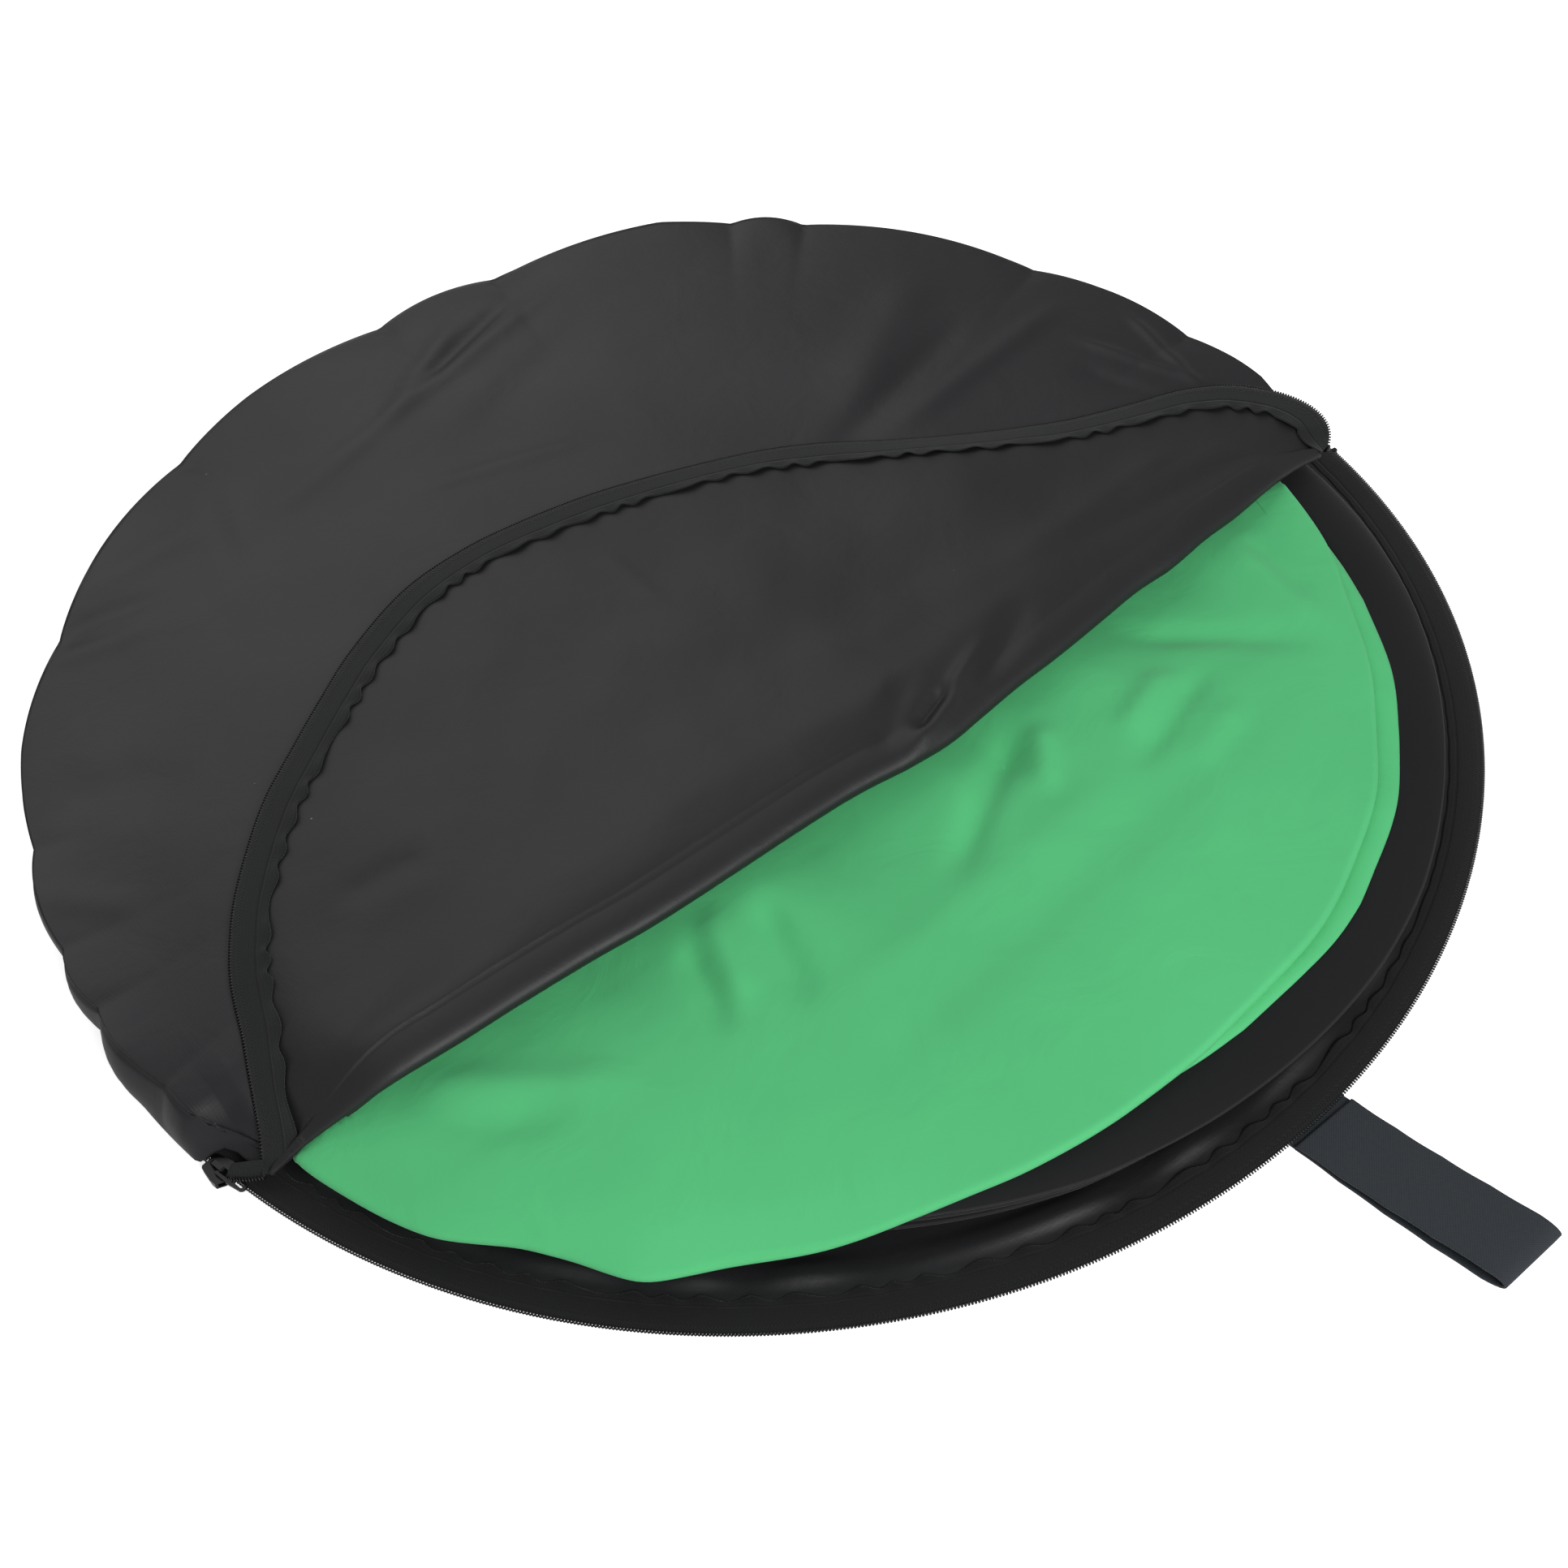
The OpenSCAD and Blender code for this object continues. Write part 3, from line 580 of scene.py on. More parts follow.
def dome(x, y):
    """Height of the slack roof, without the pull of the roll at its front."""
    a = np.arctan2(y, x)
    a = np.where(a < -np.pi / 2, a + 2 * np.pi, a)
    edge_r, edge_z = seam(a)
    share = np.clip(np.hypot(x, y) / edge_r, 0, 1)
    # Inside the edge the roof follows the seam only loosely.
    z_soft = np.interp(a, soft_at, soft_z)
    edge_z = z_soft + (edge_z - z_soft) * share**24
    z = edge_z + (np.interp(x, middle_x, middle_z) - edge_z) * (1 - share**5.5) ** 0.75
    # Valleys run in from the pinches and die away.
    deep = np.interp(np.degrees(a), [-16, 60, 75, 120, 140, 165], [1.6, 1.8, 3.0, 2.6, 1.0, 0.5])
    z -= deep * MM * (1 - bagging(a)) ** 3 * np.exp(-(1 - share) / 0.09) * smooth(1 - share, 0, 0.02)
    swell = smooth(1 - share, 0.0, 0.12)
    z += 1.1 * MM * swell * ripple(x, y, 110 * MM, 21)
    return z + folds(x, y, roof_creases)


def fold_line(x):
    """The nose of the roll at x: its y and its height."""
    return np.interp(x, nose[:, 0], nose[:, 1]), np.interp(x, nose[:, 0], nose[:, 2])


def to_rim(x, y, reach=6 * MM):
    """Distance to the line of the flap's coil, and the height of that line there: a mean over the
    points of the line, which counts the nearest ones within about reach."""
    line = rim[::3]
    square = (x[..., None] - line[:, 0]) ** 2 + (y[..., None] - line[:, 1]) ** 2
    weight = np.exp(-(square - square.min(-1, keepdims=True)) / reach**2)
    weight /= weight.sum(-1, keepdims=True)
    return np.sqrt(np.maximum((weight * square).sum(-1) - reach**2 / 2, 0)), (weight * line[:, 2]).sum(-1)


def least(a, b, soft=0.7 * MM):
    """The lower of two heights, with the corner between them rounded."""
    return -soft * np.logaddexp(-a / soft, -b / soft)


def roof_z(x, y):
    """Height of the roof. At its front the roll holds it down, and the flap's edge at the left."""
    nose_y, nose_z = fold_line(x)
    under = nose_z - roll_half(x) - 1.0 * MM
    near = np.exp(-((np.maximum(y - nose_y, 0) / (30 * MM)) ** 2))
    z = dome(x, y) + (under - dome(x, nose_y)) * near
    corner = x < -220 * MM
    off, z_rim = to_rim(x[corner], y[corner])
    held = z_rim - 0.6 * MM + 0.35 * off
    lowered = least(z[corner], held, 1.5 * MM)
    z[corner] += (lowered - z[corner]) * smooth(-x[corner], 220 * MM, 262 * MM)
    return z


seam_angle = np.linspace(math.radians(194), math.radians(-16), 420)
edge_r, edge_z = seam(seam_angle)
seam_line = polar(edge_r, seam_angle, edge_z)
share = np.linspace(0, 1, 420)
front = sample(nose, share, nose_share)
front[:, 1] += 0.8 * roll_half(front[:, 0])
across = (np.linspace(0, 1, 110) ** 0.85)[:, None]
x, y = (front[:, k] + (seam_line[:, k] - front[:, k]) * across for k in (0, 1))
top = np.stack([x, y, roof_z(x, y)], -1)
top[-1] = seam_line
# Side wall: from the seam down to the rim of the base, with a belly and a groove under the seam.
# Its foot, point by point: the angle, the radius and the height.
foot = np.array([
    (-16, 319, 5.2), (-9, 319, 5.2), (-8, 319, 3), (150, 319, 3), (172, 324, 2.6), (181, 333.5, 3.4),
    (188.4, 333.5, 4), (189.3, 324, 9.2), (190.5, 321.5, 9.2), (193.4, 322, 8.2), (194, 318, 9.5),
])
foot_r, foot_z = (np.interp(seam_angle, np.radians(foot[:, 0]), row * MM) for row in foot[:, 1:].T)
down = np.array([0.03, 0.07, 0.12, 0.18, 0.26, 0.36, 0.47, 0.58, 0.69, 0.8, 0.9, 1.0])[:, None]
belly = 3.4 * MM * np.sin(np.pi * down) * (0.5 + bagging(seam_angle))
belly = belly - 1.6 * MM * np.exp(-(((down - 0.07) / 0.03) ** 2))
wall_r = edge_r + (foot_r - edge_r) * down**1.4 + belly * smooth(edge_z, 12 * MM, 30 * MM)
wall_r += 1.2 * MM * ripple(seam_angle * 0.32, down * 0.03, 45 * MM, 8) * np.sin(np.pi * down)
# The right end of the wall slants back under the flap's corner.
slant = math.radians(7) * (1 - smooth(seam_angle, math.radians(-16), math.radians(6)))
wall = polar(wall_r, seam_angle + slant * down, edge_z + (foot_z - edge_z) * down)
roof = surface("roof_and_side_wall_cloth", np.concatenate([top, wall]), bag_outside)
thicken(roof, 0.8 * MM)
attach(roof, "bag")
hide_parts("roof_panel", "side_wall")


# ---------------------------------------------------------------- Slider and stops
# The slider and its puller are die-cast zinc with a glossy black enamel; the stops are crimped
# metal, lacquered black.


def enamel(name, colour, roughness, coat):
    """Enamel baked on die-cast zinc, or lacquer: a smooth, hard, glossy paint."""
    made, tree = new_material(name)
    peel = noise(tree, add(tree, "TexCoord").outputs["Object"], 700.0, 1.0)
    rest = {"IOR": 1.5, "Specular IOR Level": 0.3, "Coat Weight": coat, "Coat Roughness": 0.08}
    return finished(made, to_linear(colour), roughness, rest, bump(tree, peel, 0.15, 0.1 * MM))


def give(material, *names):
    """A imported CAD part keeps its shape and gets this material."""
    for name in names:
        nodes[name].data.materials.clear()
        nodes[name].data.materials.append(material)


zinc_enamel = enamel("baked_enamel_on_die_cast_zinc", "#0c0c0d", 0.24, 0.08)
give(zinc_enamel, "slider_body", "slider_bridge", "zip_puller")
stop_lacquer = enamel("lacquered_crimped_metal", "#1b1b1c", 0.35, 0.2)
give(stop_lacquer, "zip_bottom_stop", "lower_top_stop")


# ---------------------------------------------------------------- Ends of the zip
# Behind the slider the two coils run closed for a short way. A folded cloth tab closes each end.

tail_angle = np.radians(np.linspace(-175, -170.6, 30))
tail = coil("closed_coil_turns", polar(330.3 * MM, tail_angle, 3.5 * MM), upward, coil_nylon)
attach(tail, "bag")
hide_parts("zip_tail_coil")

for name, start, stop, height in (("zip_start_tab", -181, -174, 17.2), ("zip_end_tab", -12, -6.5, 11.0)):
    # A strip folded in two over its top edge, standing against the wall.
    a = np.radians(np.linspace(start, stop, 24))[None]
    foot_up, head_up = 3.9, height - 0.4
    rising, falling = np.linspace(foot_up, head_up, 14), np.linspace(head_up, foot_up, 14)
    up = np.concatenate([rising, np.full(3, height), falling])[:, None]
    out_of = np.concatenate([np.full(14, 319.1), [319.3, 319.6, 319.9], np.full(14, 320.1)])[:, None]
    bow = 0.4 * np.sin(np.pi * (a - a.min()) / np.ptp(a)) * np.sin(np.pi * np.clip((up - foot_up) / 13, 0, 1))
    tab = surface(name + "_cloth", polar((out_of + bow) * MM, a, up * MM), bag_outside, flip=True)
    thicken(tab, 0.35 * MM)
    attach(tab, "bag")
    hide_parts(name)


# ---------------------------------------------------------------- Free end of the upper zip
# In front of the slider the upper half leaves it, crosses over the lower coil and climbs to the
# corner of the flap, with a narrow strip of its tape behind it.

climb = through([
    (-325.4, -62.6, 5.0), (-323.5, -66.2, 6.6), (-320.5, -70.0, 8.0), (-317.0, -73.4, 8.7),
    (-313.5, -75.6, 9.0),
], 80)
behind = through([
    (-320.2, -60.6, 8.2), (-318.4, -63.0, 9.8), (-316.0, -65.8, 11.4), (-313.6, -68.6, 12.8),
    (-311.0, -71.4, 14.0),
], 80)
strip = np.linspace(0, 1, 7)[:, None]
lean = np.array([-0.5, -0.3, 0.8])
points = climb[:, None] + (behind - climb)[:, None] * strip + 0.5 * MM * np.sin(np.pi * strip) * lean
# Its rest is folded down behind.
down_behind = behind[:, None] + np.linspace(0, 1, 5)[1:, None] * np.array([1.4, 1.8, -4.6]) * MM
points = np.concatenate([points, down_behind], 1)
uv = strip_uv(lengths(climb)[:, None], np.linspace(0, 0.0115, points.shape[1]))
end_tape = surface("upper_tape_end_cloth", points, tape_cloth, uv=uv, flip=True)
thicken(end_tape, tape_thick)
chain = coil("upper_coil_end_turns", climb + np.array([-0.4, -0.3, 0.5]) * MM, lean, coil_nylon)
for piece, which in ((chain, "zip_coil"), (end_tape, "zip_tape")):
    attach(piece, "bag")


# ---------------------------------------------------------------- Flap
# The front part of the round top, unzipped and turned back over the roof with its coated inside
# up. The cloth rolls over at the fold, lies on the roof in soft swells, and ends under the tape.

rim_s = lengths(rim)

# Creases of the turned back cloth, as on the roof. The first four are the buckle in the roll.
flap_creases = [
    ((2, -108), (68, -83), 4.5, 3.8), ((10, -101), (36, -92), 4.0, -4.6),
    ((52, -97), (98, -76), 7, -2.2), ((-10, -98), (26, -76), 6, -1.8), ((-24, 84), (-25, 26), 5, 0.5),
    ((-88, 92), (-77, 43), 5, 0.5), ((-286, -73), (-160, -84), 9, 1.3),
    ((-169, -82), (-10, -92), 9, 1.2), ((232, -42), (113, -53), 9, 1.8),
    ((125, -52), (2, -39), 11, 1.4), ((240, -72), (144, -64), 8, -1.6),
    ((-226, -6), (-185, -15), 8, -1.4), ((-120, -10), (60, -25), 22, -1.2),
]
# The flap lies this far over the roof, and the top of its roll is so many half heights long.
clear = 1.6 * MM
roll_long = 2.9


def flap_z(x, y):
    """Height of the turned back cloth: on the roof, and lifted near the fold by the roll."""
    nose_y, nose_z = fold_line(x)
    b = roll_half(x)
    back = nose_y + roll_long * b
    lift = nose_z + b - roof_z(x, back) - clear
    near = np.exp(-((np.maximum(y - back, 0) / (34 * MM)) ** 2))
    swell = 0.8 * MM * (1 + ripple(x, y, 120 * MM, 33)) + 0.3 * MM * (1 + ripple(x, y, 40 * MM, 34))
    swell = (swell + 1.0 * MM) * smooth(y - back, 0, 25 * MM)
    return roof_z(x, y) + clear + lift * near + swell + folds(x, y, flap_creases)


def laid_z(x, y, hold=13 * MM):
    """Height of the flap, which takes the height of its coil near the edge."""
    off, z_rim = to_rim(x, y)
    near = np.exp(-((off / hold) ** 2))
    return flap_z(x, y) * (1 - near) + z_rim * near


def flap_top(x, y):
    """Height of the flap's upper face, on its roll as well."""
    nose_y, nose_z = fold_line(x)
    b = roll_half(x)
    far = np.clip((y - nose_y) / (roll_long * b), 0, 1)
    laid = laid_z(x, y)
    on_roll = np.minimum(laid, nose_z + b * np.sqrt(1 - (1 - far) ** 2))
    return np.where(y < nose_y + roll_long * b, on_roll, laid)


rim_along = unit(np.gradient(rim, axis=0))
rim_in = unit(np.cross(rim_along, upward))
columns = 340
share = np.linspace(0, 1, columns)
nose_at = sample(nose, share, nose_share)
# At the left corner the roll is pulled straight, under the end of the tape.
corner_long = 17 * MM
pulled = int(np.argmax(nose_at[:, 0] > rim[0, 0] + corner_long))
t = np.linspace(0, 1, pulled)[:, None]
sag = np.array([0, 0.8, -1.0]) * MM * np.sin(np.pi * t)
nose_at[:pulled] = nose_at[0] + (nose_at[pulled] - nose_at[0]) * t + sag
# The cloth ends under the tape, 4 mm inside the line of the coil.
hem_at = sample(rim + rim_in * 4 * MM, share, rim_s / rim_s[-1])
b = roll_half(nose_at[:, 0])
# The roll is an oval: round below, and long and flat on top as far as the flap has room.
back = np.minimum(roll_long * b, 0.6 * np.maximum(hem_at[:, 1] - nose_at[:, 1], 0.5 * MM))
turn = np.linspace(-0.5 * np.pi, 0.5 * np.pi, 25)[:, None]
reach = np.where(turn < 0, 1.1 * b, back)
# The tucked lip, then the roll from below over the nose to the top.
lip = np.stack([np.broadcast_to(nose_at[:, 0], (3, columns)),
                nose_at[:, 1] + 1.1 * b + np.array([6, 4, 2])[:, None] * MM,
                nose_at[:, 2] - b + np.array([0.5, 0.4, 0.2])[:, None] * MM], -1)
lip[..., 2] = np.maximum(lip[..., 2], roof_z(lip[..., 0], lip[..., 1]) + 0.9 * MM)
rolled_y = nose_at[:, 1] + reach * (1 - np.cos(turn))
roll = np.stack([nose_at[:, 0] + 0 * turn, rolled_y, nose_at[:, 2] + b * np.sin(turn)], -1)
buckle = folds(roll[..., 0], roll[..., 1], flap_creases[:4])
roll[..., 2] += buckle * (0.5 + 0.5 * np.sin(turn))
out = np.linspace(0, 1, 118)[1:, None]
x = nose_at[:, 0] + (hem_at[:, 0] - nose_at[:, 0]) * out
y = nose_at[:, 1] + back + (hem_at[:, 1] - nose_at[:, 1] - back) * out
laid = np.stack([x, y, laid_z(x, y) - 0.9 * MM * smooth(out, 0.0, 0.2)], -1)
flap = surface("flap_cloth", np.concatenate([lip, roll, laid]), bag_inside, flip=True)
thicken(flap, bag_thick)


def flatten(piece):
    """Hangs the piece on the flap's body and gives it a mesh of its own. The flap can't fall over
    the disc like cloth, and nothing here flattens it to a plane as it closes."""
    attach(piece, "flap")
    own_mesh(piece)


flatten(flap)
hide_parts("flap_panel", "fold_roll")

# The upper half of the zip: the same tape and coil, along the flap's edge.
inner = rim + rim_in * tape_wide
# At both corners the tape is folded under along the nose of the roll, and fans out to the corner.
behind_nose = 0.4 * MM
inner[:, 1] = np.maximum(inner[:, 1], np.minimum(fold_line(inner[:, 0])[0] + behind_nose, rim[:, 1]))
inner[:, 1] = calm(inner[:, 1], 9)
for end, apart in ((0, corner_long), (-1, -7 * MM)):
    held = (1 - smooth(np.abs(rim_s - rim_s[end]), 0, 14 * MM))[:, None]
    corner_x = rim[end, 0] + apart
    corner = np.array([corner_x, fold_line(corner_x)[0] + behind_nose])
    inner[:, :2] = inner[:, :2] * (1 - held) + corner * held
reach_in = np.linalg.norm((inner - rim)[:, :2], axis=1)
inner[:, 2] = flap_top(inner[:, 0], inner[:, 1]) + 0.9 * MM
tape_in = unit(inner - rim)
tape_up = unit(np.cross(tape_in, rim_along))
tape_share = np.clip(reach_in / tape_wide, 0.1, 1)
tape_edge = rim + tape_up * 0.3 * MM
upper_tape = tape_strip(
    "upper_zip_tape_cloth", tape_edge, tape_in, tape_up, ruffle_high, tape_cloth,
    over=flap_top, share=tape_share,
)
thicken(upper_tape, tape_thick)
flatten(upper_tape)
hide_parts("upper_zip_tape")

upper_coil = coil("upper_coil_turns", rim - tape_in * 0.9 * MM + tape_up * 0.1 * MM, tape_up, coil_nylon)
flatten(upper_coil)
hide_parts("upper_zip_coil")

# The stop crimped on the last turns of the coil: a small rounded block, bent down with them.
ball = np.linspace(-0.5 * np.pi, 0.5 * np.pi, 14)[:, None]
round_it = np.linspace(0, 2 * np.pi, 25)[:-1]
sphere = np.cos(ball) * np.cos(round_it), np.cos(ball) * np.sin(round_it), np.sin(ball) + 0 * round_it
block = [np.sign(c) * np.abs(c) ** 0.45 for c in sphere]
axes = (-rim_along[-1], tape_in[-1], tape_up[-1])
shape = sum(c[..., None] * half * MM * axis for c, half, axis in zip(block, (1.5, 1.6, 1.35), axes))
stop_at = rim[-1] - tape_in[-1] * 0.6 * MM
stop = surface("upper_stop_on_coil", stop_at + shape, stop_lacquer, closed=True, flip=True)
flatten(stop)
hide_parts("upper_top_stop")


# ---------------------------------------------------------------- Hand strap
# A loop of flat woven webbing, its two ends sewn one on the other under the rim of the base. It
# lies on the ground and stands a little open at its bend.


def webbing(name, colour):
    """Flat nylon webbing: a rib weave across the strap, with a little fuzz. The UV has the length
    first and the width second, in metres."""
    made, tree = new_material(name)
    place = add(tree, "UVMap", uv_map="metres").outputs["UV"]
    parts = add(tree, "SeparateXYZ", {"Vector": place}).outputs
    # Ribs across the strap every 1.1 mm, each broken into yarns 1.4 mm wide.
    weave = maths(tree, "MULTIPLY", sine(tree, parts["X"], 1.1 * MM), sine(tree, parts["Y"], 1.4 * MM))
    fuzzy = maths(tree, "MULTIPLY_ADD", noise(tree, place, 500.0, 3.0), 1.6, weave)
    tone = tones(tree, ramp(tree, fuzzy, -0.6, 2.2), colour, 0.75, 1.3)
    rest = {"IOR": 1.5, "Specular IOR Level": 0.35, "Sheen Weight": 0.08}
    return finished(made, tone, 0.75, rest, bump(tree, fuzzy, 0.45, 0.15 * MM))


strap_web = webbing("woven_nylon_webbing", "#2a2f34")
# Path from the upper end over the bend to the lower end, as y and z in millimetres.
path = through([(0, y, z) for y, z in (
    (-331.0, 2.0), (-338, 2.4), (-352, 3.3), (-375, 5.2), (-400, 6.9), (-412, 7.4), (-419, 6.7),
    (-422.2, 4.2), (-419, 1.7), (-412, 0.75), (-400, 0.65), (-360, 0.6), (-331.0, 0.6),
)], 220)


def strap_x(y):
    """The strap leaves the rim a little askew: its middle line at y."""
    out = (-331 * MM - y) / (91 * MM)
    return (15.5 + 10.5 * out - 1.2 * np.sin(np.pi * np.clip(out, 0, 1))) * MM


# Both edges of the webbing are scalloped by its ribs. Where it stands off the floor its edges are
# raised and it twists a little.
half_web, web_thick = 0.0165, 1.0 * MM
side = np.linspace(-1, 1, 41)
edge = 16.4 * MM - 0.3 * MM * np.abs(np.sin(np.linspace(0, 9 * np.pi, len(path))))[:, None]
twist = 0.35 * (np.abs(side) > 0.9) + 0.5 * side * np.sin(np.pi * np.linspace(0, 1, len(path)))[:, None] ** 4
y, z = path[:, 1, None], path[:, 2, None]
above = z + twist * MM * (z > 2 * MM)
points = np.stack(np.broadcast_arrays(strap_x(y) + side * edge, y, above), -1)
s = lengths(path)[:, None]
strap = surface("strap_webbing", points, strap_web, uv=strip_uv(s, side * half_web), flip=True)
thicken(strap, web_thick, offset=0.0)
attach(strap, "strap")
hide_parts("strap_loop")

ends = through([(0, -331.5, 0.75), (0, -326, 0.75), (0, -318, 0.75), (0, -302, 0.75)], 24)
y, z = ends[:, 1, None], ends[:, 2, None]
points = np.stack(np.broadcast_arrays(strap_x(y) + side * 16.3 * MM, y, z), -1)
root = surface("sewn_strap_ends", points, strap_web, uv=strip_uv(lengths(ends)[:, None], side * half_web))
thicken(root, web_thick, offset=0.0)
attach(root, "bag")
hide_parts("strap_root")


# ---------------------------------------------------------------- Folded backdrop
# One closed hoop of spring steel, twisted down into three turns and kept in a black sleeve round
# the edge of a green cloth. The cloth gathers between the turns in three puffed lobes, and the
# top one hangs out over the sleeve at the left front.

# How far the sleeve has slipped forward, in millimetres, by the angle in degrees.
slid = np.array([
    (0, -2), (60, -6), (120, -6), (175, -8), (220, -8), (234, -6), (241, -1), (248, 3.5), (255, 7.5),
    (265, 9.5), (274, 10.3), (285, 11.5), (293, 11.8), (304, 10.3), (314, 8.3), (325, 5.3), (335, 1.5),
    (345, -3), (352, -3.5), (360, -2),
]).T
# It slips as a whole as far as this, and beyond it only its outer fold hangs out.
slip_most = 7.5
# The hoop's radius, its step inwards, its lowest height and the rise of one turn, in millimetres.
hoop_r, step, hoop_low, rise = 286, 28, 6.7, 8.6


def slipped_back(ahead):
    """0 where the sleeve has slipped back by less than 3 mm, and 1 beyond 8 mm."""
    return np.clip((-ahead - 3) / 5, 0, 1)


def loop(turns_in, angle):
    """Radius, height and outward tilt of the sleeve's middle: it climbs a level at the back in
    each of the first two turns, and in the last steps in there, drops two levels and steps out."""
    last = turns_in == 2
    step_in = smooth(angle, 30, 60) - smooth(angle, 120, 150)
    level = np.where(last, 2 - 2 * smooth(angle, 60, 120), turns_in + smooth(angle, 60, 120))
    ahead = np.minimum(np.interp(angle, *slid), slip_most)
    lean = 4 * (level - 2) * np.maximum(-np.sin(np.radians(angle)), 0)
    tilt = 5 * level * (1 - 0.6 * slipped_back(ahead))
    r = (hoop_r + ahead + lean - step * step_in * last) * MM
    return r, (hoop_low + rise * level) * MM, np.radians(tilt)


def sleeve_cloth(name, colour):
    """Brushed polyester edge binding: matt, with a fine nap and a raised hem on its outer fold, along which a
    thin painted highlight runs.
    """
    made, tree = new_material(name)
    place = add(tree, "UVMap", uv_map="metres").outputs["UV"]
    across = add(tree, "SeparateXYZ", {"Vector": place}).outputs["Y"]
    nap, soft = noise(tree, place, 700.0, 3.0), noise(tree, place, 14.0, 3.0)
    # The hem: a raised cord about 1.7 mm wide at the middle of the strip, which is the outer edge. Its colour
    # is also painted lighter there, as a highlight.
    hem = stripe(tree, across, 28.5 * MM, 0.6 * MM, 1.1 * MM)
    relief = bump(tree, maths(tree, "MULTIPLY_ADD", hem, 1.2, nap), 0.35, 0.15 * MM)
    tone = tones(tree, soft, colour, 0.8, 1.25)
    # Painted highlight: the hem's colour is blended a little towards light grey.
    hem_painted_highlight = blend(tree, maths(tree, "MULTIPLY", hem, 0.12), tone, to_linear("#5a5a5c"))
    rest = {"IOR": 1.45, "Specular IOR Level": 0.3, "Sheen Weight": 0.12, "Sheen Roughness": 0.4}
    return finished(made, hem_painted_highlight, 0.85, rest, relief)


binding = sleeve_cloth("brushed_polyester_binding", "#161618")
angle = np.linspace(0, 360, 361)[:-1]
centre = [loop(k, angle) for k in range(3)]
loop_r, loop_z, loop_tilt = (np.concatenate([c[k] + 0 * angle for c in centre]) for k in range(3))
full = np.tile(np.radians(angle), 3)
# Section from the sewn inner edge under the hoop, round the outer fold and back over it.
half = np.linspace(-1, 1, 15)
u = np.concatenate([half * 13.2, [13.9, 14.0, 13.9], -half * 13.2]) * MM
bulge = 0.8 + 2.3 * (1 - half**2) ** 0.8
v = np.concatenate([-bulge, [-0.45, 0, 0.45], bulge[::-1]]) * MM
# It is slack towards the front, where its outer fold hangs further out.
ahead = np.tile(np.interp(angle, *slid), 3)
slack = np.maximum(ahead - slip_most, 0) / 14
# Where it has slipped back, the strip inside fills it out upwards.
plump = 1 + 0.35 * slipped_back(ahead)
across = lengths(np.stack([u, v, 0 * u], 1))
u, v = u[:, None] * (1 + slack * (u[:, None] > 0)), v[:, None] * np.where(v[:, None] > 0, plump, 1)
sway = np.arange(len(full)) / len(full) * 2 * np.pi
ring_r = loop_r + u * np.cos(loop_tilt) + v * np.sin(loop_tilt)
ring_r = ring_r + 0.9 * MM * (np.sin(7 * sway) + 0.7 * np.sin(17 * sway + 1)) * (u / (14 * MM)) ** 2
ring_z = loop_z - u * np.sin(loop_tilt) + v * np.cos(loop_tilt)
points = polar(ring_r, full, ring_z)
uv = strip_uv(np.arange(len(full)) * 0.005, across[:, None])
sleeve = surface("edge_sleeve_cloth", points, binding, uv=uv, closed=True)
thicken(sleeve, 0.45 * MM)
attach(sleeve, "backdrop")
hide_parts("edge_sleeve")


def brushed_knit(name, colour):
    """Brushed green polyester knit, dyed through: matt, thin, and a little bright in the folds."""
    made, tree = new_material(name)
    place = add(tree, "TexCoord").outputs["Object"]
    nap, cloudy = noise(tree, place, 900.0, 2.0), noise(tree, place, 12.0, 3.0)
    creased = bump(tree, noise(tree, place, 26.0, 4.0, distortion=1.2), 0.5, 1.6 * MM)
    napped = bump(tree, nap, 0.2, 0.1 * MM, creased)
    tone = tones(tree, cloudy, colour, 0.92, 1.08)
    rest = {"IOR": 1.45, "Specular IOR Level": 0.25, "Sheen Weight": 0.15, "Sheen Roughness": 0.4}
    return finished(made, tone, 0.8, rest, napped)


green = brushed_knit("dyed_polyester_knit", "#58c37e")
green_thick = 0.5 * MM

# Edge of the top lobe: angle, radius and height of the edge roll's centre, in degrees and
# millimetres. It hangs over the tape at the left and rises to the top turn on the right.
edge_at = np.array([
    (-180, 296, 24), (-174, 297, 20), (-168, 303, 15), (-165.5, 313, 16), (-163, 315.5, 18),
    (-152, 316, 18), (-146, 310.5, 18.5), (-142, 311, 18), (-137, 316.5, 17.5), (-131, 309.5, 18.5),
    (-125, 306, 21), (-119, 301.5, 24.5), (-113, 298, 28), (-107, 295.5, 30.5), (-101, 294, 31),
    (-95, 290.5, 31), (-89, 288, 31.2), (-80, 287, 31.5), (-72, 286, 31.5), (-60, 283, 31.5),
    (-50, 278.5, 31.5), (-42, 275, 31.5), (-36, 273, 31.5), (-30, 273, 31.5), (-22, 273.5, 31.5),
    (-10, 272, 31.5), (0, 268, 31.5), (60, 262, 31.5), (120, 262, 31.5), (160, 284, 27.5),
    (180, 296, 24),
]).T
ways = np.linspace(-180, 180, 721)[:-1]
lobe_r, roll_z = (calm(np.interp(ways, edge_at[0], e), 9) for e in edge_at[1:])
lobe_r = lobe_r + 0.5 * np.sin(np.radians(9 * ways)) + 0.5 * np.sin(np.radians(23 * ways + 50))
lobe_r, roll_z, ways = lobe_r * MM, roll_z * MM, np.radians(ways)
# Radius of the edge roll's section.
soft_r = 2.9 * MM

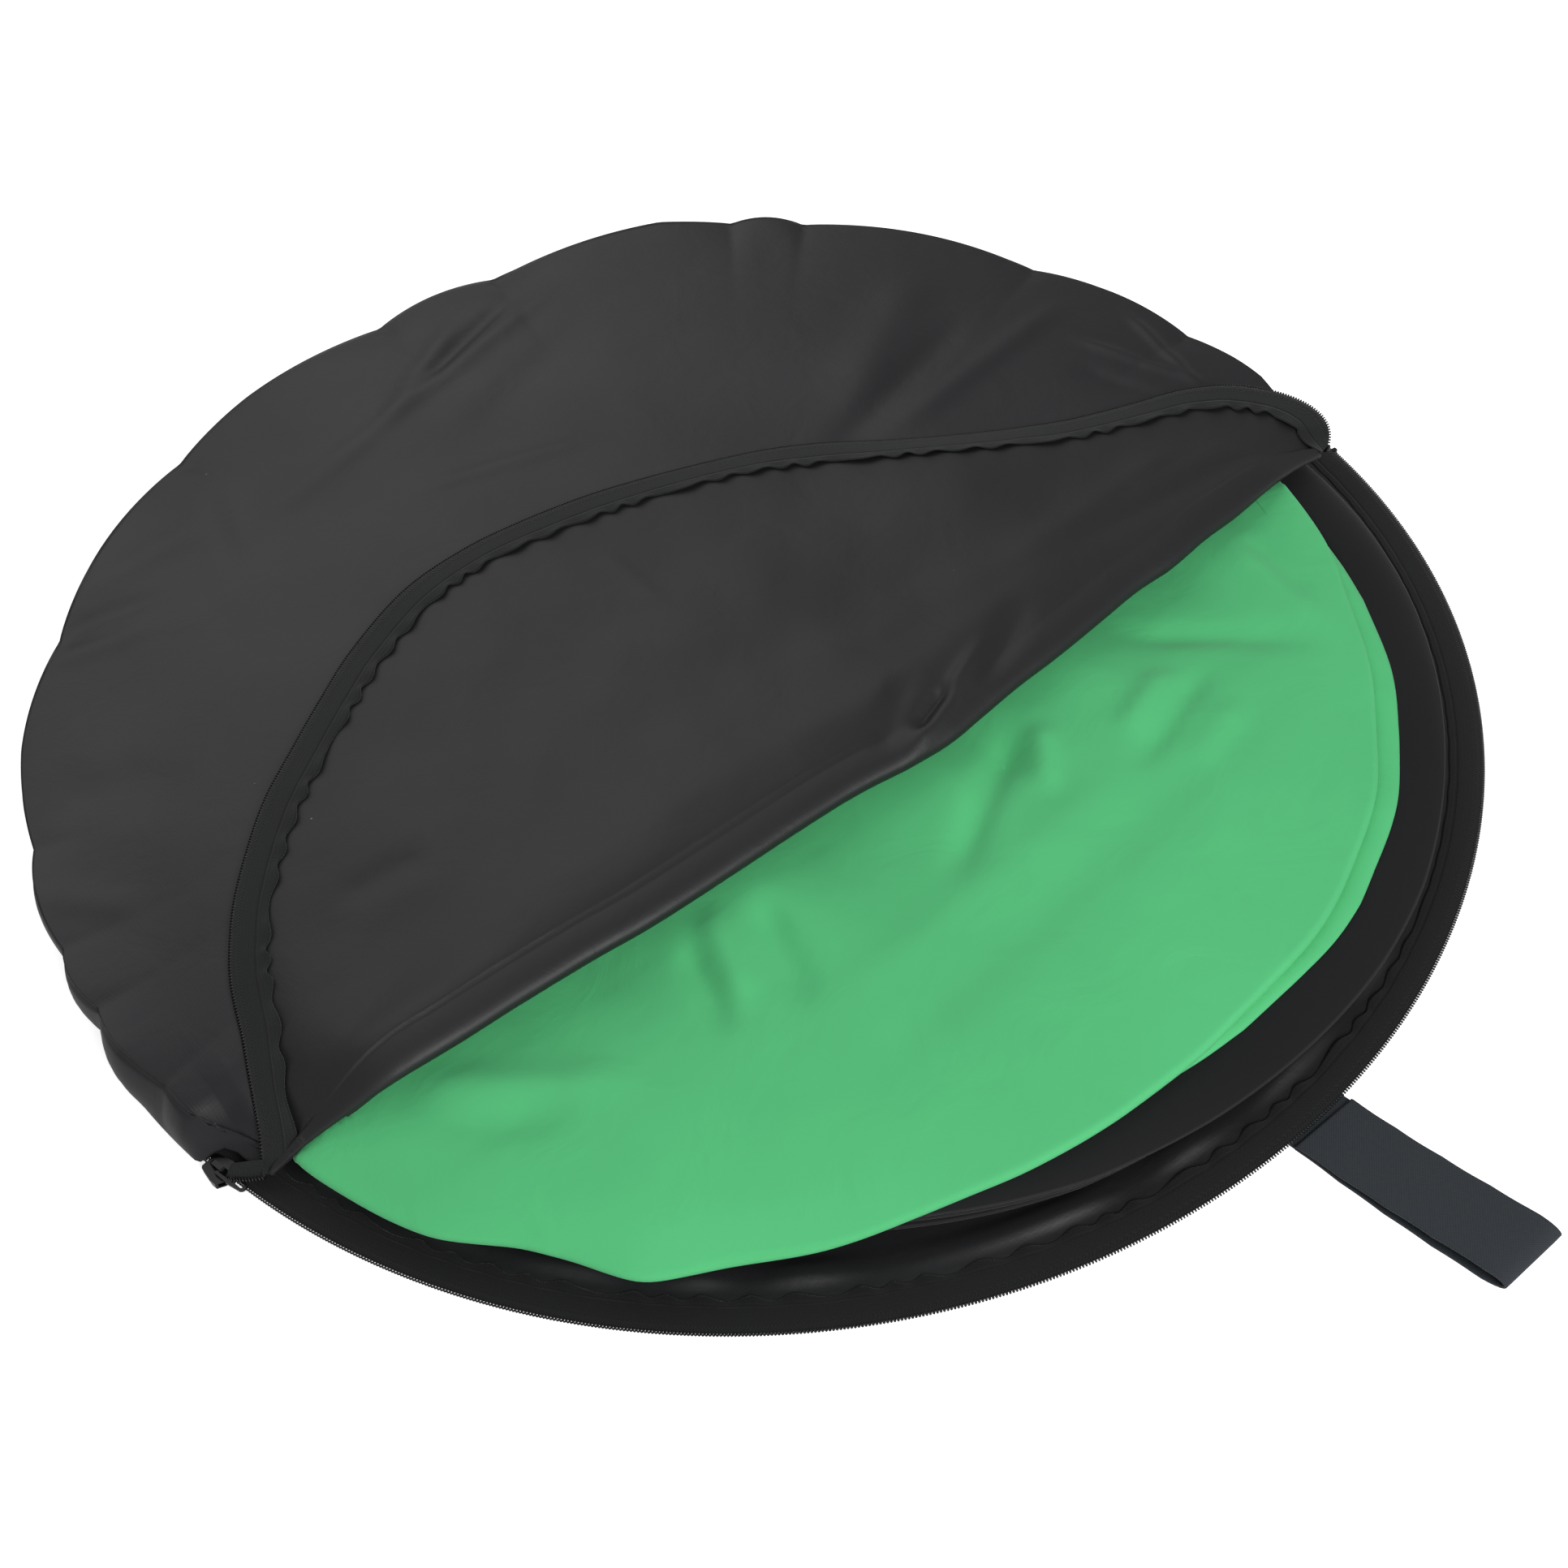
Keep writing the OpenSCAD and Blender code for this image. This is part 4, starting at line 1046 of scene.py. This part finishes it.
# Where the roll presses the cloth down, and where it puffs up between, by x.
press_x = np.linspace(-320, 320, 641)
press_knots = np.array([
    (-320, 6), (-279, 7.4), (-262, 4.4), (-244, 1.6), (-222, 4.4), (-199, 7.4), (-178, 6.6),
    (-158, 7.8), (-120, 4.8), (-86, 1.8), (-70, 4.8), (-54, 7.2), (-22, 4.4), (10, 1.8), (26, 4.6),
    (39, 7.0), (55, 3.4), (75, 2.8), (102, 2.4), (118, 5.4), (133, 8.4), (170, 7.6), (210, 2.6),
    (218, 5), (226, 7.6), (300, 6),
]).T
press = calm(np.interp(press_x, *press_knots), 15)
# Creases of the green cloth, as on the roof.
cloth_creases = [
    ((-112, -106), (-130, -154), 7, 2.5), ((-129, -112), (-142, -156), 6, -2.7),
    ((-93, -117), (-111, -168), 8, -2.8), ((52, -117), (-23, -160), 7, -3.3),
    ((61, -125), (36, -152), 6, 2.7), ((125, -138), (84, -152), 6, 2.5),
    ((136, -150), (75, -170), 6, -2.7), ((132, -174), (92, -186), 6, 1.7),
    ((136, -109), (188, -172), 8, -3.0), ((207, -102), (197, -172), 8, 2.5),
    ((217, -105), (207, -152), 7, -3.0), ((-250, -97), (-186, -150), 9, 2.8),
    ((-271, -115), (-214, -143), 8, -3.0), ((155, -182), (-115, -211), 12, -1.2),
    ((65, -168), (-102, -178), 10, 1.0), ((-236, -198), (-161, -257), 12, -1.7),
]


def crown_z(x, y):
    """Height of the top lobe inside its edge: pressed down by the roll at the back, with short
    folds that run out from under it and long faint ones beyond."""
    ahead = fold_line(x)[0] - y
    z = 36.4 * MM + 0.6 * MM * ripple(x, y, 120 * MM, 51) + 0.3 * MM * ripple(x, y, 45 * MM, 52)
    z -= 1.2 * np.interp(x, press_x * MM, press) * MM * np.exp(-((np.maximum(ahead, 0) / (44 * MM)) ** 2))
    z += 1.3 * folds(x, y, cloth_creases)
    return np.minimum(z, 38.5 * MM)


def ceiling(x, y):
    """Height that the cloth has under the roll and the roof: it opens in front of the roll."""
    nose_y, nose_z = fold_line(x)
    opening = nose_z - roll_half(x) - 1.2 * MM + 1.1 * np.maximum(nose_y - y, 0)
    return np.where(y > nose_y + 4 * MM, roof_z(x, y) - 1.2 * MM, opening)


roll_z = np.minimum(roll_z, ceiling(lobe_r * np.cos(ways), lobe_r * np.sin(ways)) - soft_r)
# The top falls away towards the edge and meets the edge roll at the same slope, the angle turned.
inside = lobe_r - soft_r
x, y = inside * np.cos(ways), inside * np.sin(ways)
fall = np.maximum(np.minimum(crown_z(x, y), ceiling(x, y)) - roll_z - soft_r, 0)
turned = np.arctan(9 * fall / inside)
end_r, end_z = inside + soft_r * np.sin(turned), roll_z + soft_r * np.cos(turned)
inward = np.concatenate([np.linspace(0.03, 0.86, 60), np.linspace(0.87, 1, 34)])[:, None]
r = inward * end_r
x, y = r * np.cos(ways), r * np.sin(ways)
crown = least(crown_z(x, y), ceiling(x, y))
top = end_z + (crown - end_z) * (1 - inward**9)
# It can't sink through the top turn of the hoop, but goes under the roof.
hoop_top, hoop_mid = 29.6 * MM, 277 * MM
over_hoop = np.minimum(hoop_top - 9 * (r - hoop_mid) ** 2, ceiling(x, y))
top = -least(-top, -over_hoop, 0.6 * MM)
top = least(top, ceiling(x, y))
turn = turned + (np.pi - turned) * np.linspace(0, 1, 13)[1:, None]
under_r, under_z = inside + soft_r * np.sin(turn), roll_z + soft_r * np.cos(turn)
tuck = np.array([4, 9, 15])[:, None] * MM
all_r = np.concatenate([r, under_r, lobe_r - soft_r - tuck])
all_z = np.concatenate([top, under_z, roll_z - soft_r + 0.18 * tuck])
cover = surface("top_lobe_cloth", polar(all_r, ways, all_z), green, closed=True, pole=True, flip=True)
thicken(cover, green_thick)
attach(cover, "backdrop")
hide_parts("cloth_top")

# A second layer of the same cloth, which shows beyond the rolled edge on the right.
ledge_way = np.radians(np.linspace(-95, -22, 240))
ledge_knots = np.array([
    (-95, -2), (-88, 3), (-80, 5), (-72, 8), (-68, 8), (-60, 9), (-53, 10), (-45, 10), (-36, 8),
    (-30, 3), (-22, -2),
]).T
wide = np.interp(np.degrees(ledge_way), *ledge_knots) * MM
out = np.linspace(0, 1, 22)[:, None]
all_r = np.interp(ledge_way, ways, lobe_r) + (-5 * MM + (5 * MM + wide) * out)
all_z = (28.3 + 1.1 * np.sin(np.pi * out**0.8) - 0.9 * out**8) * MM
all_z = all_z + 0.3 * MM * ripple(ledge_way * 0.28, out * 0.01, 40 * MM, 61)
ledge = surface("second_layer_cloth", polar(all_r, ledge_way, all_z), green)
thicken(ledge, green_thick)
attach(ledge, "backdrop")

# The two hidden lobes: puffed pillows of cloth between the turns. Each row ends with the lobe's
# bottom and top in millimetres.
hidden_lobes = (
    ("middle_lobe_cloth", "cloth_middle", 15.2, 25.6),
    ("cloth_bottom_lobe", "cloth_bottom", 1.9, 14.2),
)
for name, node, low, high in hidden_lobes:
    way = np.radians(np.arange(0, 360, 3))
    pull = np.interp(np.degrees(way), [0, 20, 32, 150, 160, 360], [266, 266, 234, 234, 266, 266]) * MM
    size, mid, half_h = np.linspace(0.06, 1, 24)[:, None], (low + high) / 2 * MM, (high - low) / 2 * MM
    puff = half_h * (1 - size**8) ** 0.5 * (1 + 0 * way)
    both_r = np.concatenate([size * pull, (size * pull)[:-1][::-1]])
    both_z = np.concatenate([mid + puff, (mid - puff)[:-1][::-1]])
    lobe = surface(name, polar(both_r, way, both_z), green, closed=True, pole=True, flip=True)
    thicken(lobe, green_thick)
    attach(lobe, "backdrop")
    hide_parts(node)


def steel(name, colour, roughness):
    """Cold rolled steel, bright and lightly oiled."""
    made, tree = new_material(name)
    drawn = noise(tree, add(tree, "TexCoord").outputs["Object"], 400.0, 2.0)
    rough = ramp(tree, drawn, 0.0, 1.0, roughness - 0.08, roughness + 0.08)
    return finished(made, to_linear(colour), rough, {"Metallic": 1.0})


give(steel("cold_rolled_spring_steel", "#8f9499", 0.32), "spring_hoop")
give(steel("crimped_steel_ferrule", "#7b7f84", 0.42), "spring_ferrule")


low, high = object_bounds()
